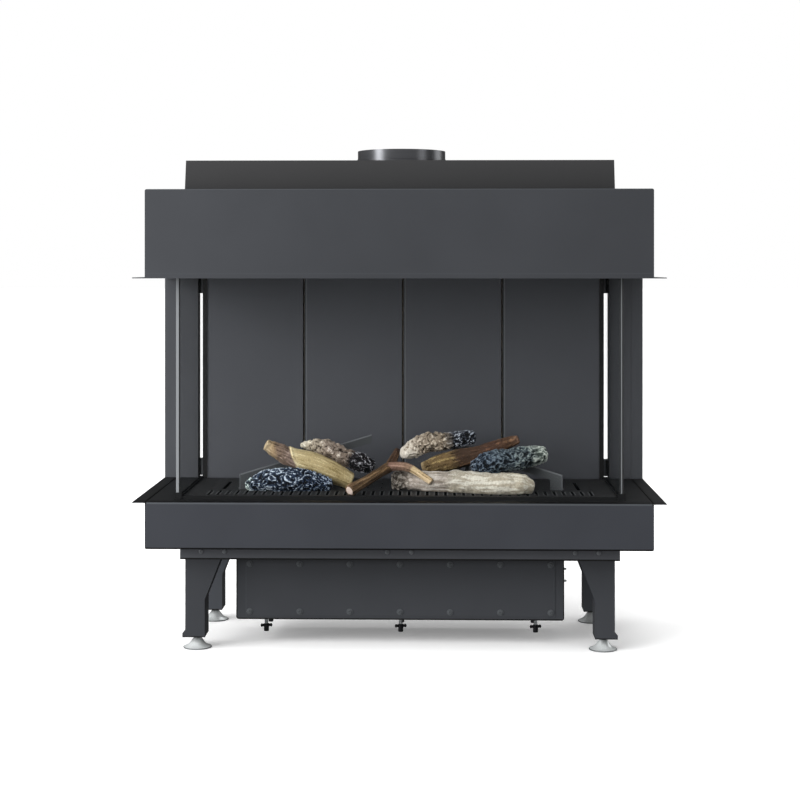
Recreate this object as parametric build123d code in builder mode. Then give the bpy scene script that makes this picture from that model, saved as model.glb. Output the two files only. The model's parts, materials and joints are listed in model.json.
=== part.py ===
from build123d import *
from math import cos, hypot, pi, sin
import os

os.makedirs("parts", exist_ok=True)

# Three-sided gas fireplace on a levelling stand.
# X runs across the front, Y runs from the front (negative) to the back, Z is up.
# The origin lies on the floor, in the middle of the casing's plan.

# Casing
case_width = 1080
case_depth = 450
flange_width = 27
seam_width = 2
seam_depth = 1
sheet = 2
fold_radius = 3
corner_radius = 4
stand_height = 197.5
rail_height = 35
tray_height = 100
window_height = 476
hood_height = 190
chamber_rise = 66
collar_rise = 32

# Fits that several pieces share
clearance = 0.3
running_fit = 0.06
overrun = 10

# Glass box
glass_inset = 58.5
front_glass_overhang = 3.5
glass_setback = 53
glass_thickness = 4
glass_overlap = 18
glass_play = 0.5
glass_chamfer = 0.5
channel_wall = 1.5
channel_height = 6
rope_diameter = 8.7
rope_height_above_hood = 9

# Corner clips at the feet of the front glass corners
clip_leg = 15
clip_height = 14
clip_sheet = 1.5
clip_tab = 10

# Back of the firebox
rear_casing_depth = 61
rear_casing_inset = 67.5
rear_flange = 10.5
rear_casing_rise = 2.5
panel_count = 4
panel_side_play = 5.5
panel_gap = 2
panel_return = 12
panel_sheet = 1.5
panel_radius = 2

# Rear uprights
column_slot = 14.5
column_width = 79.5
column_depth = 37
column_fold_width = 51
column_joggle = 1.5
tie_height = 38
tie_raise = 5.5
tie_margin = 4

# Top of the chamber and the flue
chamber_slope = 17
flue_from_back = 168
collar_radius = 100
spigot_radius = 65
pipe_sheet = 1.5
spigot_drop = 6
spigot_reach_down = 20
collar_flange = 18
spigot_flange = 14
bead_rise = 1.2
bead_width = 3
bead_count = 2
bead_pitch = 7

# Relief lids
lid_width = 180
lid_depth = 140
lid_sheet = 2
lid_rim = 6
lid_inset = 165
lid_from_back = 91
relief_width = 130
relief_depth = 90
guide_radius = 4
guide_inset = 12
guide_head_radius = 7
guide_head_height = 3
lid_travel = 8

# Firebox floor, grate and burner
pan_inset = 110
pan_setback = 91
pan_rear_margin = 37
pan_drop = 32
pan_sheet = 1.5
grate_sheet = 1.5
slot_count = 43
slot_pitch = 20
slot_width = 6
slot_length = 72
slot_setback = 106
side_slot_inset = 32
side_slot_setback = 200
side_slot_margin = 22
side_slot_width = 8
burner_inset = 130
burner_setback = 198
burner_rear_margin = 20
burner_gap = 1
burner_sheet = 1.5
port_count = 20
port_width = 3
port_length = 16
port_rows = 2

# Pilot
pilot_across = 150
pilot_base_width = 50
pilot_base_depth = 12
pilot_base_sheet = 2
pilot_tube_radius = 5
pilot_tube_height = 34
pilot_hood_radius = 8
pilot_hood_height = 12
electrode_radius = 2
electrode_height = 42
electrode_spacing = 16

# Stand
rail_overhang = 11
rail_setback = 78
rear_rail_from_back = 86
rail_flange = 40
leg_inset = 74
leg_width = 42.5
leg_depth = 62
leg_bottom_height = 27.5
leg_plate = 3
leg_flare = 6.4
flare_height = 8
flare_rise = 16.5
gusset_bottom_height = 110
gusset_reach = 34.5
leg_head_width = 100

# Levelling feet
foot_inset = 23
foot_setback_in_leg = 28
foot_rim_radius = 31
foot_rim_height = 2.5
foot_neck_radius = 6.5
foot_waist_radius = 14.5
foot_waist_height = 13.5
foot_neck_height = 23
spindle_radius = 5
spindle_top = 78
nut_across_flats = 17
nut_height = 8

# Frame bolts
bolt_radius = 3
bolt_head_radius = 5
bolt_head_height = 3
bolt_height = 215
bolt_nut_height = 5
centre_bolt_across = 26
inner_bolt_inset = 86
outer_bolt_inset = 35

# Control box
box_leg_gap = 106.3
box_setback = 121
box_from_back = 95
box_bottom_height = 59
box_corner_radius = 6
cover_inset = 20.9
cover_height = 124
cover_drop = 7
cover_sheet = 1.5
window_margin = 28
screw_count = 7
screw_inset = 8.8
screw_rows_height = 104.5
screw_bottom_height = 76.5
screw_radius = 2.5
screw_washer_radius = 7
screw_washer_height = 1.3
screw_crown_radius = 4.2
screw_crown_height = 2.2
screw_length = 8
screw_socket = 2.2
stud_radius = 2.5
stud_length = 6
stud_setback_in_box = 14
stud_heights = (170, 144)

# Wing nuts under the control box
wing_inset = 58.2
wing_setback = 200
wing_rear_margin = 56
wing_stud_radius = 4.3
wing_nut_bottom = 16.3
wing_hub_radius = 5.8
wing_hub_height = 17
wing_span = 27
wing_thickness = 3
wing_drop = 7.5
wing_floor = 4

# Gas train
valve_width = 120
valve_depth = 80
valve_height = 70
valve_across = -140
valve_setback_in_box = 40
valve_edge = 5
knob_radius = 16
knob_length = 14
knob_height = 45
knob_spindle_radius = 4
knob_spindle_length = 12
knob_grips = 12
knob_grip_radius = 1.6
receiver_width = 130
receiver_depth = 80
receiver_height = 30
receiver_across = 125
receiver_setback_in_box = 50
receiver_edge = 3
gas_pipe_radius = 6
supply_height = 40
inlet_radius = 8.3
inlet_length = 15
inlet_hex_across = 24
inlet_hex_length = 8
inlet_bore_radius = 5

# Log brackets, as bent plates set at an angle to the front
bracket_outer_across = 361
bracket_outer_setback = 192
bracket_inner_across = 69
bracket_inner_setback = 290
bracket_sheet = 3
bracket_leg_width = 28
bracket_shoulder_height = 34
bracket_end_height = 113.5
bracket_arm_height = 18.5
bracket_foot_depth = 14

# Bed that the logs lie in: their tables are shares of these four sizes
bed_width = 722
bed_front = 110
bed_depth = 180
bed_height = 130
log_girth = 52

# Sizes worked out from those above
front_y = -case_depth / 2
case_x = case_width / 2
flange_x = case_x + flange_width
tray_bottom_z = stand_height + rail_height
tray_top_z = tray_bottom_z + tray_height
hood_bottom_z = tray_top_z + window_height
hood_top_z = hood_bottom_z + hood_height
chamber_top_z = hood_top_z + chamber_rise
rear_wall_setback = case_depth - rear_casing_depth
column_setback = case_depth - column_depth
flue_setback = case_depth - flue_from_back
lid_setback = case_depth - lid_from_back

glass_x = case_x - glass_inset
side_glass_x = glass_x - front_glass_overhang
glass_front = glass_setback
glass_back = glass_front + glass_thickness
glass_bottom_z = tray_top_z + channel_wall + clearance
glass_top_z = hood_bottom_z + glass_overlap
channel_side = glass_play + channel_wall

rope_gap = rope_diameter + 2 * clearance
chamber_x = side_glass_x - glass_thickness - rope_gap
chamber_front = glass_back + rope_gap
lid_centre_across = chamber_x - lid_inset
chamber_bottom_z = hood_bottom_z + rear_casing_rise
rear_x = case_x - rear_casing_inset
panel_pitch = 2 * (rear_x - panel_side_play) / panel_count
column_inner_x = rear_x + column_slot

pan_x = case_x - pan_inset
pan_back = rear_wall_setback - pan_rear_margin
rim_top_z = tray_top_z + pan_sheet
grate_top_z = rim_top_z
pan_bottom_z = rim_top_z - pan_drop
pan_floor_z = pan_bottom_z + pan_sheet
burner_back = pan_back - burner_rear_margin
burner_depth = burner_back - burner_setback
burner_width = 2 * (pan_x - burner_inset)
side_slot_across = pan_x - side_slot_inset

leg_face = rail_setback + sheet + clearance
leg_pitch = case_depth - rear_rail_from_back - rail_setback
leg_outer = case_x - leg_inset
rail_x = leg_outer + rail_overhang
foot_across = leg_outer - foot_inset
leg_bolt_inner = leg_outer - inner_bolt_inset
leg_bolt_outer = leg_outer - outer_bolt_inset
box_x = leg_outer - box_leg_gap
box_width = 2 * box_x
box_back = case_depth - box_from_back
box_depth = box_back - box_setback
wing_pitch = box_back - wing_rear_margin - wing_setback
box_floor_z = box_bottom_height + sheet
cover_width = box_width - 2 * cover_inset
screw_pitch = (cover_width - 2 * screw_inset) / (screw_count - 1)
wing_across = box_x - wing_inset
cover_top_z = box_bottom_height + cover_drop + cover_height
valve_front = box_setback + valve_setback_in_box
valve_back = valve_front + valve_depth
valve_top_z = box_floor_z + clearance + valve_height
supply_z = box_floor_z + clearance + supply_height


def y_at(depth):
    """Y of a point that lies this far behind the casing's front face."""
    return front_y + depth


def block(low, high, mode=Mode.ADD):
    """Straight-sided solid between two corners given as (x, depth, z)."""
    with BuildSketch(Plane.XY.offset(low[2])) as plan:
        with Locations(((low[0] + high[0]) / 2, y_at((low[1] + high[1]) / 2))):
            Rectangle(high[0] - low[0], high[1] - low[1])
    extrude(plan.sketch, amount=high[2] - low[2], mode=mode)


def front_plane(depth):
    """Upright plane facing the viewer, this far behind the front face."""
    return Plane.XZ.offset(-y_at(depth))


def keep(piece, name):
    """Labels a finished piece and writes its file."""
    piece.part.label = name
    export_step(piece.part, "parts/" + name + ".step")


def keep_mirrored(piece, name):
    """Writes the left-hand twin of a right-hand piece."""
    with BuildPart() as twin:
        mirror(piece.part, about=Plane.YZ)
    keep(twin, name)
    return twin


# Lower casing: a closed tray whose top plate stands out at both sides as a flange.
# A shallow seam runs from front to back where the plate and each flange meet.
with BuildPart() as base_tray:
    with BuildSketch(front_plane(0)) as tray_outline:
        with Locations((0, (tray_bottom_z + tray_top_z) / 2)):
            Rectangle(case_width, tray_height)
        fillet(tray_outline.vertices().group_by(Axis.Y)[0], radius=corner_radius)
    extrude(amount=-case_depth)
    offset(amount=-sheet, openings=base_tray.faces().sort_by(Axis.Z)[-1])
    block((-flange_x, 0, tray_top_z - sheet), (flange_x, case_depth, tray_top_z))
    for side in (-1, 1):
        seam_x = sorted((side * case_x, side * (case_x - seam_width)))
        block(
            (seam_x[0], 0, tray_top_z - seam_depth),
            (seam_x[1], case_depth, tray_top_z),
            mode=Mode.SUBTRACT,
        )
    block(
        (-pan_x - clearance, pan_setback - clearance, tray_top_z - overrun),
        (pan_x + clearance, pan_back + clearance, tray_top_z + overrun),
        mode=Mode.SUBTRACT,
    )
    block(
        (-box_x + box_corner_radius, box_setback + box_corner_radius, tray_bottom_z - overrun),
        (box_x - box_corner_radius, box_back - box_corner_radius, tray_bottom_z + overrun),
        mode=Mode.SUBTRACT,
    )
keep(base_tray, "base_tray")

# Upper casing, open below and at the back where the chamber stands.
glass_cut_x = glass_x + channel_side + clearance
glass_cut_front = glass_front - channel_side - clearance
with BuildPart() as hood:
    with BuildSketch(front_plane(0)) as hood_outline:
        with Locations((0, (hood_bottom_z + hood_top_z) / 2)):
            Rectangle(case_width, hood_height)
        fillet(hood_outline.vertices().group_by(Axis.Y)[-1], radius=corner_radius)
    extrude(amount=-case_depth)
    offset(amount=-sheet, openings=hood.faces().sort_by(Axis.Z)[0])
    block((-flange_x, 0, hood_bottom_z), (flange_x, case_depth, hood_bottom_z + sheet))
    block(
        (-glass_cut_x, glass_cut_front, hood_bottom_z - overrun),
        (glass_cut_x, case_depth + overrun, hood_bottom_z + sheet + overrun),
        mode=Mode.SUBTRACT,
    )
    block(
        (-rear_x - clearance, case_depth - sheet - overrun, hood_bottom_z - overrun),
        (rear_x + clearance, case_depth + overrun, hood_top_z + overrun),
        mode=Mode.SUBTRACT,
    )
    block(
        (-chamber_x - clearance, chamber_front - clearance, hood_top_z - sheet - overrun),
        (chamber_x + clearance, case_depth + overrun, hood_top_z + overrun),
        mode=Mode.SUBTRACT,
    )
keep(hood, "hood")

# Upper chamber: its front leans back above the hood, its underside is open to the fire.
lid_guide_x = lid_width / 2 - guide_inset
lid_guide_y = lid_depth / 2 - guide_inset
lid_centre_y = y_at(lid_setback)
guide_height = lid_sheet + 2 * clearance + lid_travel + guide_head_height
with BuildPart() as top_box:
    with BuildSketch(Plane.YZ):
        with BuildLine():
            Polyline(
                (y_at(chamber_front), chamber_bottom_z),
                (y_at(chamber_front), hood_top_z),
                (y_at(chamber_front + chamber_slope), chamber_top_z),
                (y_at(case_depth), chamber_top_z),
                (y_at(case_depth), chamber_bottom_z),
                close=True,
            )
        make_face()
    extrude(amount=chamber_x, both=True)
    offset(amount=-sheet, openings=top_box.faces().sort_by(Axis.Z)[0])
    with BuildSketch(Plane.XY.offset(chamber_top_z)):
        with Locations((0, y_at(flue_setback))):
            Circle(spigot_radius + clearance)
        with Locations((-lid_centre_across, lid_centre_y), (lid_centre_across, lid_centre_y)):
            Rectangle(relief_width, relief_depth)
    extrude(amount=-sheet - overrun, mode=Mode.SUBTRACT)
    for side in (-1, 1):
        with Locations((side * lid_centre_across, lid_centre_y, chamber_top_z)):
            with GridLocations(2 * lid_guide_x, 2 * lid_guide_y, 2, 2):
                Cylinder(
                    guide_radius,
                    guide_height,
                    align=(Align.CENTER, Align.CENTER, Align.MIN),
                )
        with Locations(
            (side * lid_centre_across, lid_centre_y, chamber_top_z + guide_height - guide_head_height)
        ):
            with GridLocations(2 * lid_guide_x, 2 * lid_guide_y, 2, 2):
                Cylinder(
                    guide_head_radius,
                    guide_head_height,
                    align=(Align.CENTER, Align.CENTER, Align.MIN),
                )
keep(top_box, "top_box")


def relief_lid(side, name):
    """Loose lid that lifts on four guide pins when the chamber's pressure rises."""
    with BuildPart() as lid:
        with BuildSketch(Plane.XY.offset(chamber_top_z + clearance)):
            with Locations((side * lid_centre_across, lid_centre_y)):
                Rectangle(lid_width, lid_depth)
                with GridLocations(2 * lid_guide_x, 2 * lid_guide_y, 2, 2):
                    Circle(guide_radius + clearance, mode=Mode.SUBTRACT)
        extrude(amount=lid_sheet)
        with BuildSketch(Plane.XY.offset(chamber_top_z + clearance + lid_sheet)):
            with Locations((side * lid_centre_across, lid_centre_y)):
                Rectangle(lid_width, lid_depth)
                Rectangle(lid_width - 2 * lid_sheet, lid_depth - 2 * lid_sheet, mode=Mode.SUBTRACT)
        extrude(amount=lid_rim - lid_sheet)
    keep(lid, name)


relief_lid(-1, "left_relief_lid")
relief_lid(1, "right_relief_lid")

# Outer collar of the concentric flue, with two stiffening beads near its foot.
flue_axis = Axis((0, y_at(flue_setback), 0), (0, 0, 1))
flue_section = Plane(origin=(0, y_at(flue_setback), 0), x_dir=(1, 0, 0), z_dir=(0, -1, 0))
with BuildPart() as flue_collar:
    with BuildSketch(flue_section):
        with Locations((collar_radius - pipe_sheet, chamber_top_z)):
            Rectangle(pipe_sheet, collar_rise, align=(Align.MIN, Align.MIN))
            Rectangle(collar_flange, pipe_sheet, align=(Align.MIN, Align.MIN))
        with Locations(
            [
                (collar_radius, chamber_top_z + pipe_sheet + bead_pitch * (number + 0.5))
                for number in range(bead_count)
            ]
        ):
            Rectangle(2 * bead_rise, bead_width)
    revolve(axis=flue_axis)
keep(flue_collar, "flue_collar")

# Inner pipe of the flue, standing through the chamber's top plate.
with BuildPart() as flue_spigot:
    with BuildSketch(flue_section):
        with Locations((spigot_radius - pipe_sheet, chamber_top_z - spigot_reach_down)):
            Rectangle(
                pipe_sheet,
                spigot_reach_down + collar_rise - spigot_drop,
                align=(Align.MIN, Align.MIN),
            )
        with Locations((spigot_radius - pipe_sheet, chamber_top_z)):
            Rectangle(spigot_flange, pipe_sheet, align=(Align.MIN, Align.MIN))
    revolve(axis=flue_axis)
keep(flue_spigot, "flue_spigot")

# Back of the firebox: a shallow box whose front lips frame the liner panels.
with BuildPart() as rear_casing:
    block((-rear_x, rear_wall_setback, tray_top_z), (rear_x, case_depth, chamber_bottom_z))
    block(
        (-rear_x + sheet, rear_wall_setback + sheet, tray_top_z + sheet),
        (rear_x - sheet, case_depth - sheet, chamber_bottom_z - sheet),
        mode=Mode.SUBTRACT,
    )
    block(
        (-rear_x + rear_flange, rear_wall_setback - overrun, tray_top_z + sheet),
        (rear_x - rear_flange, rear_wall_setback + sheet + overrun, chamber_bottom_z - sheet),
        mode=Mode.SUBTRACT,
    )
keep(rear_casing, "rear_casing")

# Liner panels, each folded back at both upright edges.
panel_front = rear_wall_setback + sheet + clearance
panel_bottom_z = tray_top_z + sheet + clearance
panel_top_z = chamber_bottom_z - sheet - clearance
for number in range(panel_count):
    panel_centre = (number - (panel_count - 1) / 2) * panel_pitch
    panel_x = (panel_pitch - panel_gap) / 2
    with BuildPart() as panel:
        with BuildSketch(Plane.XY.offset(panel_bottom_z)):
            with BuildLine():
                FilletPolyline(
                    (panel_centre - panel_x, y_at(panel_front + panel_return)),
                    (panel_centre - panel_x, y_at(panel_front)),
                    (panel_centre + panel_x, y_at(panel_front)),
                    (panel_centre + panel_x, y_at(panel_front + panel_return)),
                    radius=panel_radius,
                )
                offset(amount=panel_sheet, side=Side.LEFT)
            make_face()
        extrude(amount=panel_top_z - panel_bottom_z)
    keep(panel, "back_panel_" + str(number + 1))

# Insulation between the liner panels and the back of the casing.
with BuildPart() as insulation_board:
    block(
        (-rear_x + sheet + clearance, panel_front + panel_return + clearance, panel_bottom_z),
        (rear_x - sheet - clearance, case_depth - sheet - clearance, panel_top_z),
    )
keep(insulation_board, "insulation_board")

# Rear uprights: folded channels with a shallow step towards their outer wing.
column_outer_x = column_inner_x + column_width
column_step_x = column_inner_x + column_fold_width
with BuildPart() as right_column:
    with BuildSketch(Plane.XY.offset(tray_top_z)):
        with BuildLine():
            Polyline(
                (column_inner_x, y_at(case_depth)),
                (column_inner_x, y_at(column_setback)),
                (column_step_x, y_at(column_setback)),
                (column_step_x + column_joggle, y_at(column_setback + column_joggle)),
                (column_outer_x, y_at(column_setback + column_joggle)),
                (column_outer_x, y_at(case_depth)),
            )
            offset(amount=sheet, side=Side.LEFT)
        make_face()
    extrude(amount=window_height)
keep(right_column, "right_column")
keep_mirrored(right_column, "left_column")

# Short ties that close the slot beside the firebox near its top and its bottom.
with BuildPart() as column_ties:
    for side in (-1, 1):
        tie_x = sorted((side * rear_x, side * column_inner_x))
        for tie_z in (tray_top_z + tie_raise, hood_bottom_z - tie_height):
            block(
                (tie_x[0], column_setback + tie_margin, tie_z),
                (tie_x[1], case_depth - tie_margin, tie_z + tie_height),
            )
keep(column_ties, "column_ties")

# Glass channels: one across the front, one along each side.
channel_x = glass_x + channel_side
side_channel_inner = side_glass_x - glass_thickness - channel_side
side_channel_outer = side_glass_x + channel_side
with BuildPart() as glass_channels:
    block(
        (-channel_x, glass_front - channel_side, tray_top_z),
        (channel_x, glass_back + channel_side, tray_top_z + channel_height),
    )
    block(
        (-channel_x - overrun, glass_front - glass_play, tray_top_z + channel_wall),
        (channel_x + overrun, glass_back + glass_play, tray_top_z + channel_height + overrun),
        mode=Mode.SUBTRACT,
    )
    for side in (-1, 1):
        outer = sorted((side * side_channel_inner, side * side_channel_outer))
        slot = sorted(
            (
                side * (side_glass_x - glass_thickness - glass_play),
                side * (side_glass_x + glass_play),
            )
        )
        block(
            (outer[0], glass_back + channel_side + clearance, tray_top_z),
            (outer[1], rear_wall_setback - clearance, tray_top_z + channel_height),
        )
        block(
            (slot[0], glass_back + channel_side, tray_top_z + channel_wall),
            (slot[1], rear_wall_setback + overrun, tray_top_z + channel_height + overrun),
            mode=Mode.SUBTRACT,
        )
keep(glass_channels, "glass_channels")

# Front pane, which lifts in its channel, and the two fixed side panes.
with BuildPart() as front_glass:
    block((-glass_x, glass_front, glass_bottom_z), (glass_x, glass_back, glass_top_z))
    chamfer(front_glass.edges().filter_by(Axis.Z), length=glass_chamfer)
keep(front_glass, "front_glass")

with BuildPart() as right_glass:
    block(
        (side_glass_x - glass_thickness, glass_back + channel_side + 2 * clearance, glass_bottom_z),
        (side_glass_x, rear_wall_setback - 2 * clearance, glass_top_z),
    )
    chamfer(right_glass.edges().filter_by(Axis.Z), length=glass_chamfer)
keep(right_glass, "right_glass")
keep_mirrored(right_glass, "left_glass")

# Angle clips round the feet of the front corners, each with a flat tab.
with BuildPart() as corner_clips:
    for side in (-1, 1):
        clip_x = side * (channel_x + clearance)
        clip_front = glass_front - channel_side - clearance
        with BuildSketch(Plane.XY.offset(tray_top_z)):
            with BuildLine():
                Polyline(
                    (clip_x - side * clip_leg, y_at(clip_front)),
                    (clip_x, y_at(clip_front)),
                    (clip_x, y_at(clip_front + clip_leg)),
                    (clip_x + side * clip_sheet, y_at(clip_front + clip_leg)),
                    (clip_x + side * clip_sheet, y_at(clip_front - clip_sheet)),
                    (clip_x - side * clip_leg, y_at(clip_front - clip_sheet)),
                    close=True,
                )
            make_face()
        extrude(amount=clip_height)
        tab_x = sorted((clip_x - side * clip_leg, clip_x))
        block(
            (tab_x[0], clip_front - clip_sheet - clip_tab, tray_top_z),
            (tab_x[1], clip_front - clip_sheet, tray_top_z + clip_sheet),
        )
keep(corner_clips, "corner_clips")

# Rope seal that fills the gap between the panes and the chamber's foot.
rope_centre = clearance + rope_diameter / 2
rope_x = side_glass_x - glass_thickness - rope_centre
rope_z = hood_bottom_z + rope_height_above_hood
with BuildPart() as glass_rope_seal:
    with BuildLine(Plane.XY.offset(rope_z)) as rope_path:
        FilletPolyline(
            (-rope_x, y_at(rear_wall_setback - clearance)),
            (-rope_x, y_at(glass_back + rope_centre)),
            (rope_x, y_at(glass_back + rope_centre)),
            (rope_x, y_at(rear_wall_setback - clearance)),
            radius=rope_centre,
        )
    with BuildSketch(Plane(origin=rope_path.line @ 0, z_dir=rope_path.line % 0)):
        Circle(rope_diameter / 2)
    sweep()
keep(glass_rope_seal, "glass_rope_seal")

# Firebox floor: a pan that drops into the tray and carries the burner.
burner_pipe_x = valve_across
burner_pipe_setback = valve_front + valve_depth / 2
with BuildPart() as firebox_floor:
    block(
        (-side_channel_inner + clearance, glass_back + channel_side + clearance, tray_top_z),
        (side_channel_inner - clearance, rear_wall_setback - clearance, rim_top_z),
    )
    block((-pan_x, pan_setback, pan_bottom_z), (pan_x, pan_back, rim_top_z))
    block(
        (-pan_x + pan_sheet, pan_setback + pan_sheet, pan_floor_z),
        (pan_x - pan_sheet, pan_back - pan_sheet, rim_top_z + overrun),
        mode=Mode.SUBTRACT,
    )
    with BuildSketch(Plane.XY.offset(pan_floor_z)):
        with Locations((burner_pipe_x, y_at(burner_setback + burner_depth / 2))):
            Circle(gas_pipe_radius + clearance)
    extrude(amount=-pan_sheet - overrun, mode=Mode.SUBTRACT)
keep(firebox_floor, "firebox_floor")

# Slotted grate: an upturned tray that stands in the pan, round the burner.
grate_x = pan_x - pan_sheet - clearance
grate_front = pan_setback + pan_sheet + clearance
grate_back = pan_back - pan_sheet - clearance
slot_row_centre = slot_setback + slot_length / 2
side_slot_length = pan_back - side_slot_margin - side_slot_setback
side_slot_centre = side_slot_setback + side_slot_length / 2
with BuildPart() as burner_grate:
    block((-grate_x, grate_front, pan_floor_z), (grate_x, grate_back, grate_top_z))
    offset(amount=-grate_sheet, openings=burner_grate.faces().sort_by(Axis.Z)[0])
    with BuildSketch(Plane.XY.offset(grate_top_z)):
        with Locations((0, y_at((burner_setback + burner_back) / 2))):
            Rectangle(burner_width + 2 * burner_gap, burner_depth + 2 * burner_gap)
        with Locations((0, y_at(slot_row_centre))):
            with GridLocations(slot_pitch, slot_length, slot_count, 1):
                Rectangle(slot_width, slot_length)
        with Locations(
            (-side_slot_across, y_at(side_slot_centre)), (side_slot_across, y_at(side_slot_centre))
        ):
            Rectangle(side_slot_width, side_slot_length)
    extrude(amount=-grate_sheet, mode=Mode.SUBTRACT)
keep(burner_grate, "burner_grate")

# Burner: a closed box on the pan floor with rows of ports in its top.
port_pitch = burner_width / port_count
with BuildPart() as burner_box:
    block((-burner_width / 2, burner_setback, pan_floor_z), (burner_width / 2, burner_back, grate_top_z))
    offset(amount=-burner_sheet, openings=burner_box.faces().sort_by(Axis.Z)[-1])
    block(
        (-burner_width / 2, burner_setback, grate_top_z - burner_sheet),
        (burner_width / 2, burner_back, grate_top_z),
    )
    with BuildSketch(Plane.XY.offset(grate_top_z)):
        with Locations((0, y_at((burner_setback + burner_back) / 2))):
            with GridLocations(port_pitch, burner_depth / 2, port_count, port_rows):
                Rectangle(port_width, port_length)
    extrude(amount=-burner_sheet, mode=Mode.SUBTRACT)
    with BuildSketch(Plane.XY.offset(pan_floor_z)):
        with Locations((burner_pipe_x, y_at(burner_setback + burner_depth / 2))):
            Circle(inlet_bore_radius)
    extrude(amount=burner_sheet, mode=Mode.SUBTRACT)
keep(burner_box, "burner_box")

# Pilot with its igniter and flame sensor, on the grate behind the burner.
pilot_setback = burner_back + burner_gap + clearance + pilot_base_depth / 2
pilot_post_z = grate_top_z + pilot_base_sheet
with BuildPart() as pilot_burner:
    block(
        (pilot_across - pilot_base_width / 2, pilot_setback - pilot_base_depth / 2, grate_top_z),
        (pilot_across + pilot_base_width / 2, pilot_setback + pilot_base_depth / 2, pilot_post_z),
    )
    with Locations((pilot_across, y_at(pilot_setback), pilot_post_z)):
        Cylinder(
            pilot_tube_radius, pilot_tube_height, align=(Align.CENTER, Align.CENTER, Align.MIN)
        )
    with Locations((pilot_across, y_at(pilot_setback), pilot_post_z + pilot_tube_height)):
        Cylinder(
            pilot_hood_radius, pilot_hood_height, align=(Align.CENTER, Align.CENTER, Align.MIN)
        )
    with Locations(
        (pilot_across - electrode_spacing, y_at(pilot_setback), pilot_post_z),
        (pilot_across + electrode_spacing, y_at(pilot_setback), pilot_post_z),
    ):
        Cylinder(electrode_radius, electrode_height, align=(Align.CENTER, Align.CENTER, Align.MIN))
keep(pilot_burner, "pilot_burner")


def rail_bar(face_depth):
    """Cross rail of angle section: an upright web with a flange turned back at its top."""
    with BuildSketch(Plane.YZ) as section:
        with BuildLine():
            FilletPolyline(
                (y_at(face_depth), stand_height),
                (y_at(face_depth), tray_bottom_z),
                (y_at(face_depth + rail_flange), tray_bottom_z),
                radius=fold_radius,
            )
            offset(amount=sheet, side=Side.RIGHT)
        make_face()
    extrude(section.sketch, amount=rail_x, both=True)


def bolt_row(face_depth, places, radius, reach, mode):
    """Round bars through a rail and the leg behind it, at the bolt places."""
    with BuildSketch(front_plane(face_depth)) as row:
        with Locations([(across, bolt_height) for across in places]):
            Circle(radius)
    extrude(row.sketch, amount=-reach, mode=mode)


leg_bolts = (-leg_bolt_outer, -leg_bolt_inner, leg_bolt_inner, leg_bolt_outer)
front_bolts = leg_bolts + (-centre_bolt_across, centre_bolt_across)
bolt_hole_radius = bolt_radius + clearance

with BuildPart() as front_rail:
    rail_bar(rail_setback)
    bolt_row(rail_setback, front_bolts, bolt_hole_radius, sheet + overrun, Mode.SUBTRACT)
keep(front_rail, "front_rail")

with BuildPart() as rear_rail:
    rail_bar(rail_setback + leg_pitch)
    bolt_row(rail_setback + leg_pitch, leg_bolts, bolt_hole_radius, sheet + overrun, Mode.SUBTRACT)
keep(rear_rail, "rear_rail")

# Side rails between the cross rails, flange inwards under the tray.
side_rail_start = rail_setback + rail_flange + clearance
side_rail_end = rail_setback + leg_pitch - clearance
with BuildPart() as side_rails:
    for side in (-1, 1):
        with BuildSketch(front_plane(side_rail_start)):
            with BuildLine():
                Polyline(
                    (side * rail_x, stand_height),
                    (side * rail_x, tray_bottom_z),
                    (side * (rail_x - rail_flange), tray_bottom_z),
                    (side * (rail_x - rail_flange), tray_bottom_z - sheet),
                    (side * (rail_x - sheet), tray_bottom_z - sheet),
                    (side * (rail_x - sheet), stand_height),
                    close=True,
                )
            make_face()
        extrude(amount=side_rail_start - side_rail_end)
keep(side_rails, "side_rails")

# Legs: a folded face with a gusset at its head, a deep inner flange and a foot plate.
leg_inner = leg_outer - leg_width
gusset_inner = leg_inner - gusset_reach
leg_head_inner = leg_outer - leg_head_width
leg_top_z = tray_bottom_z - sheet - clearance
foot_depth_in_leg = foot_setback_in_leg


def leg(face_depth, name, left_name):
    """Right-hand leg whose face lies at this depth, and its left-hand twin."""
    with BuildPart() as right_leg:
        with BuildSketch(front_plane(face_depth)):
            with BuildLine():
                Polyline(
                    (leg_outer, leg_top_z),
                    (leg_outer, leg_bottom_height + flare_rise),
                    (leg_outer + leg_flare, leg_bottom_height + flare_rise - flare_height),
                    (leg_outer + leg_flare, leg_bottom_height),
                    (leg_inner, leg_bottom_height),
                    (leg_inner, gusset_bottom_height),
                    (gusset_inner, stand_height),
                    (leg_head_inner, stand_height),
                    (leg_head_inner, leg_top_z),
                    close=True,
                )
            make_face()
        extrude(amount=-sheet)
        with BuildSketch(front_plane(face_depth)):
            with BuildLine():
                Polyline(
                    (leg_inner, leg_bottom_height),
                    (leg_inner, gusset_bottom_height),
                    (gusset_inner, stand_height),
                    (gusset_inner + sheet, stand_height),
                    (leg_inner + sheet, gusset_bottom_height),
                    (leg_inner + sheet, leg_bottom_height),
                    close=True,
                )
            make_face()
        extrude(amount=-leg_depth)
        block(
            (leg_inner, face_depth, leg_bottom_height),
            (leg_outer + leg_flare, face_depth + leg_depth, leg_bottom_height + leg_plate),
        )
        with BuildSketch(Plane.XY.offset(leg_bottom_height)):
            with Locations((foot_across, y_at(face_depth + foot_depth_in_leg))):
                Circle(spindle_radius + clearance)
        extrude(amount=leg_plate, mode=Mode.SUBTRACT)
        bolt_row(
            face_depth,
            (leg_bolt_inner, leg_bolt_outer),
            bolt_hole_radius,
            sheet + overrun,
            Mode.SUBTRACT,
        )
    keep(right_leg, name)
    keep_mirrored(right_leg, left_name)


leg(leg_face, "front_right_leg", "front_left_leg")
leg(leg_face + leg_pitch, "rear_right_leg", "rear_left_leg")

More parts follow.
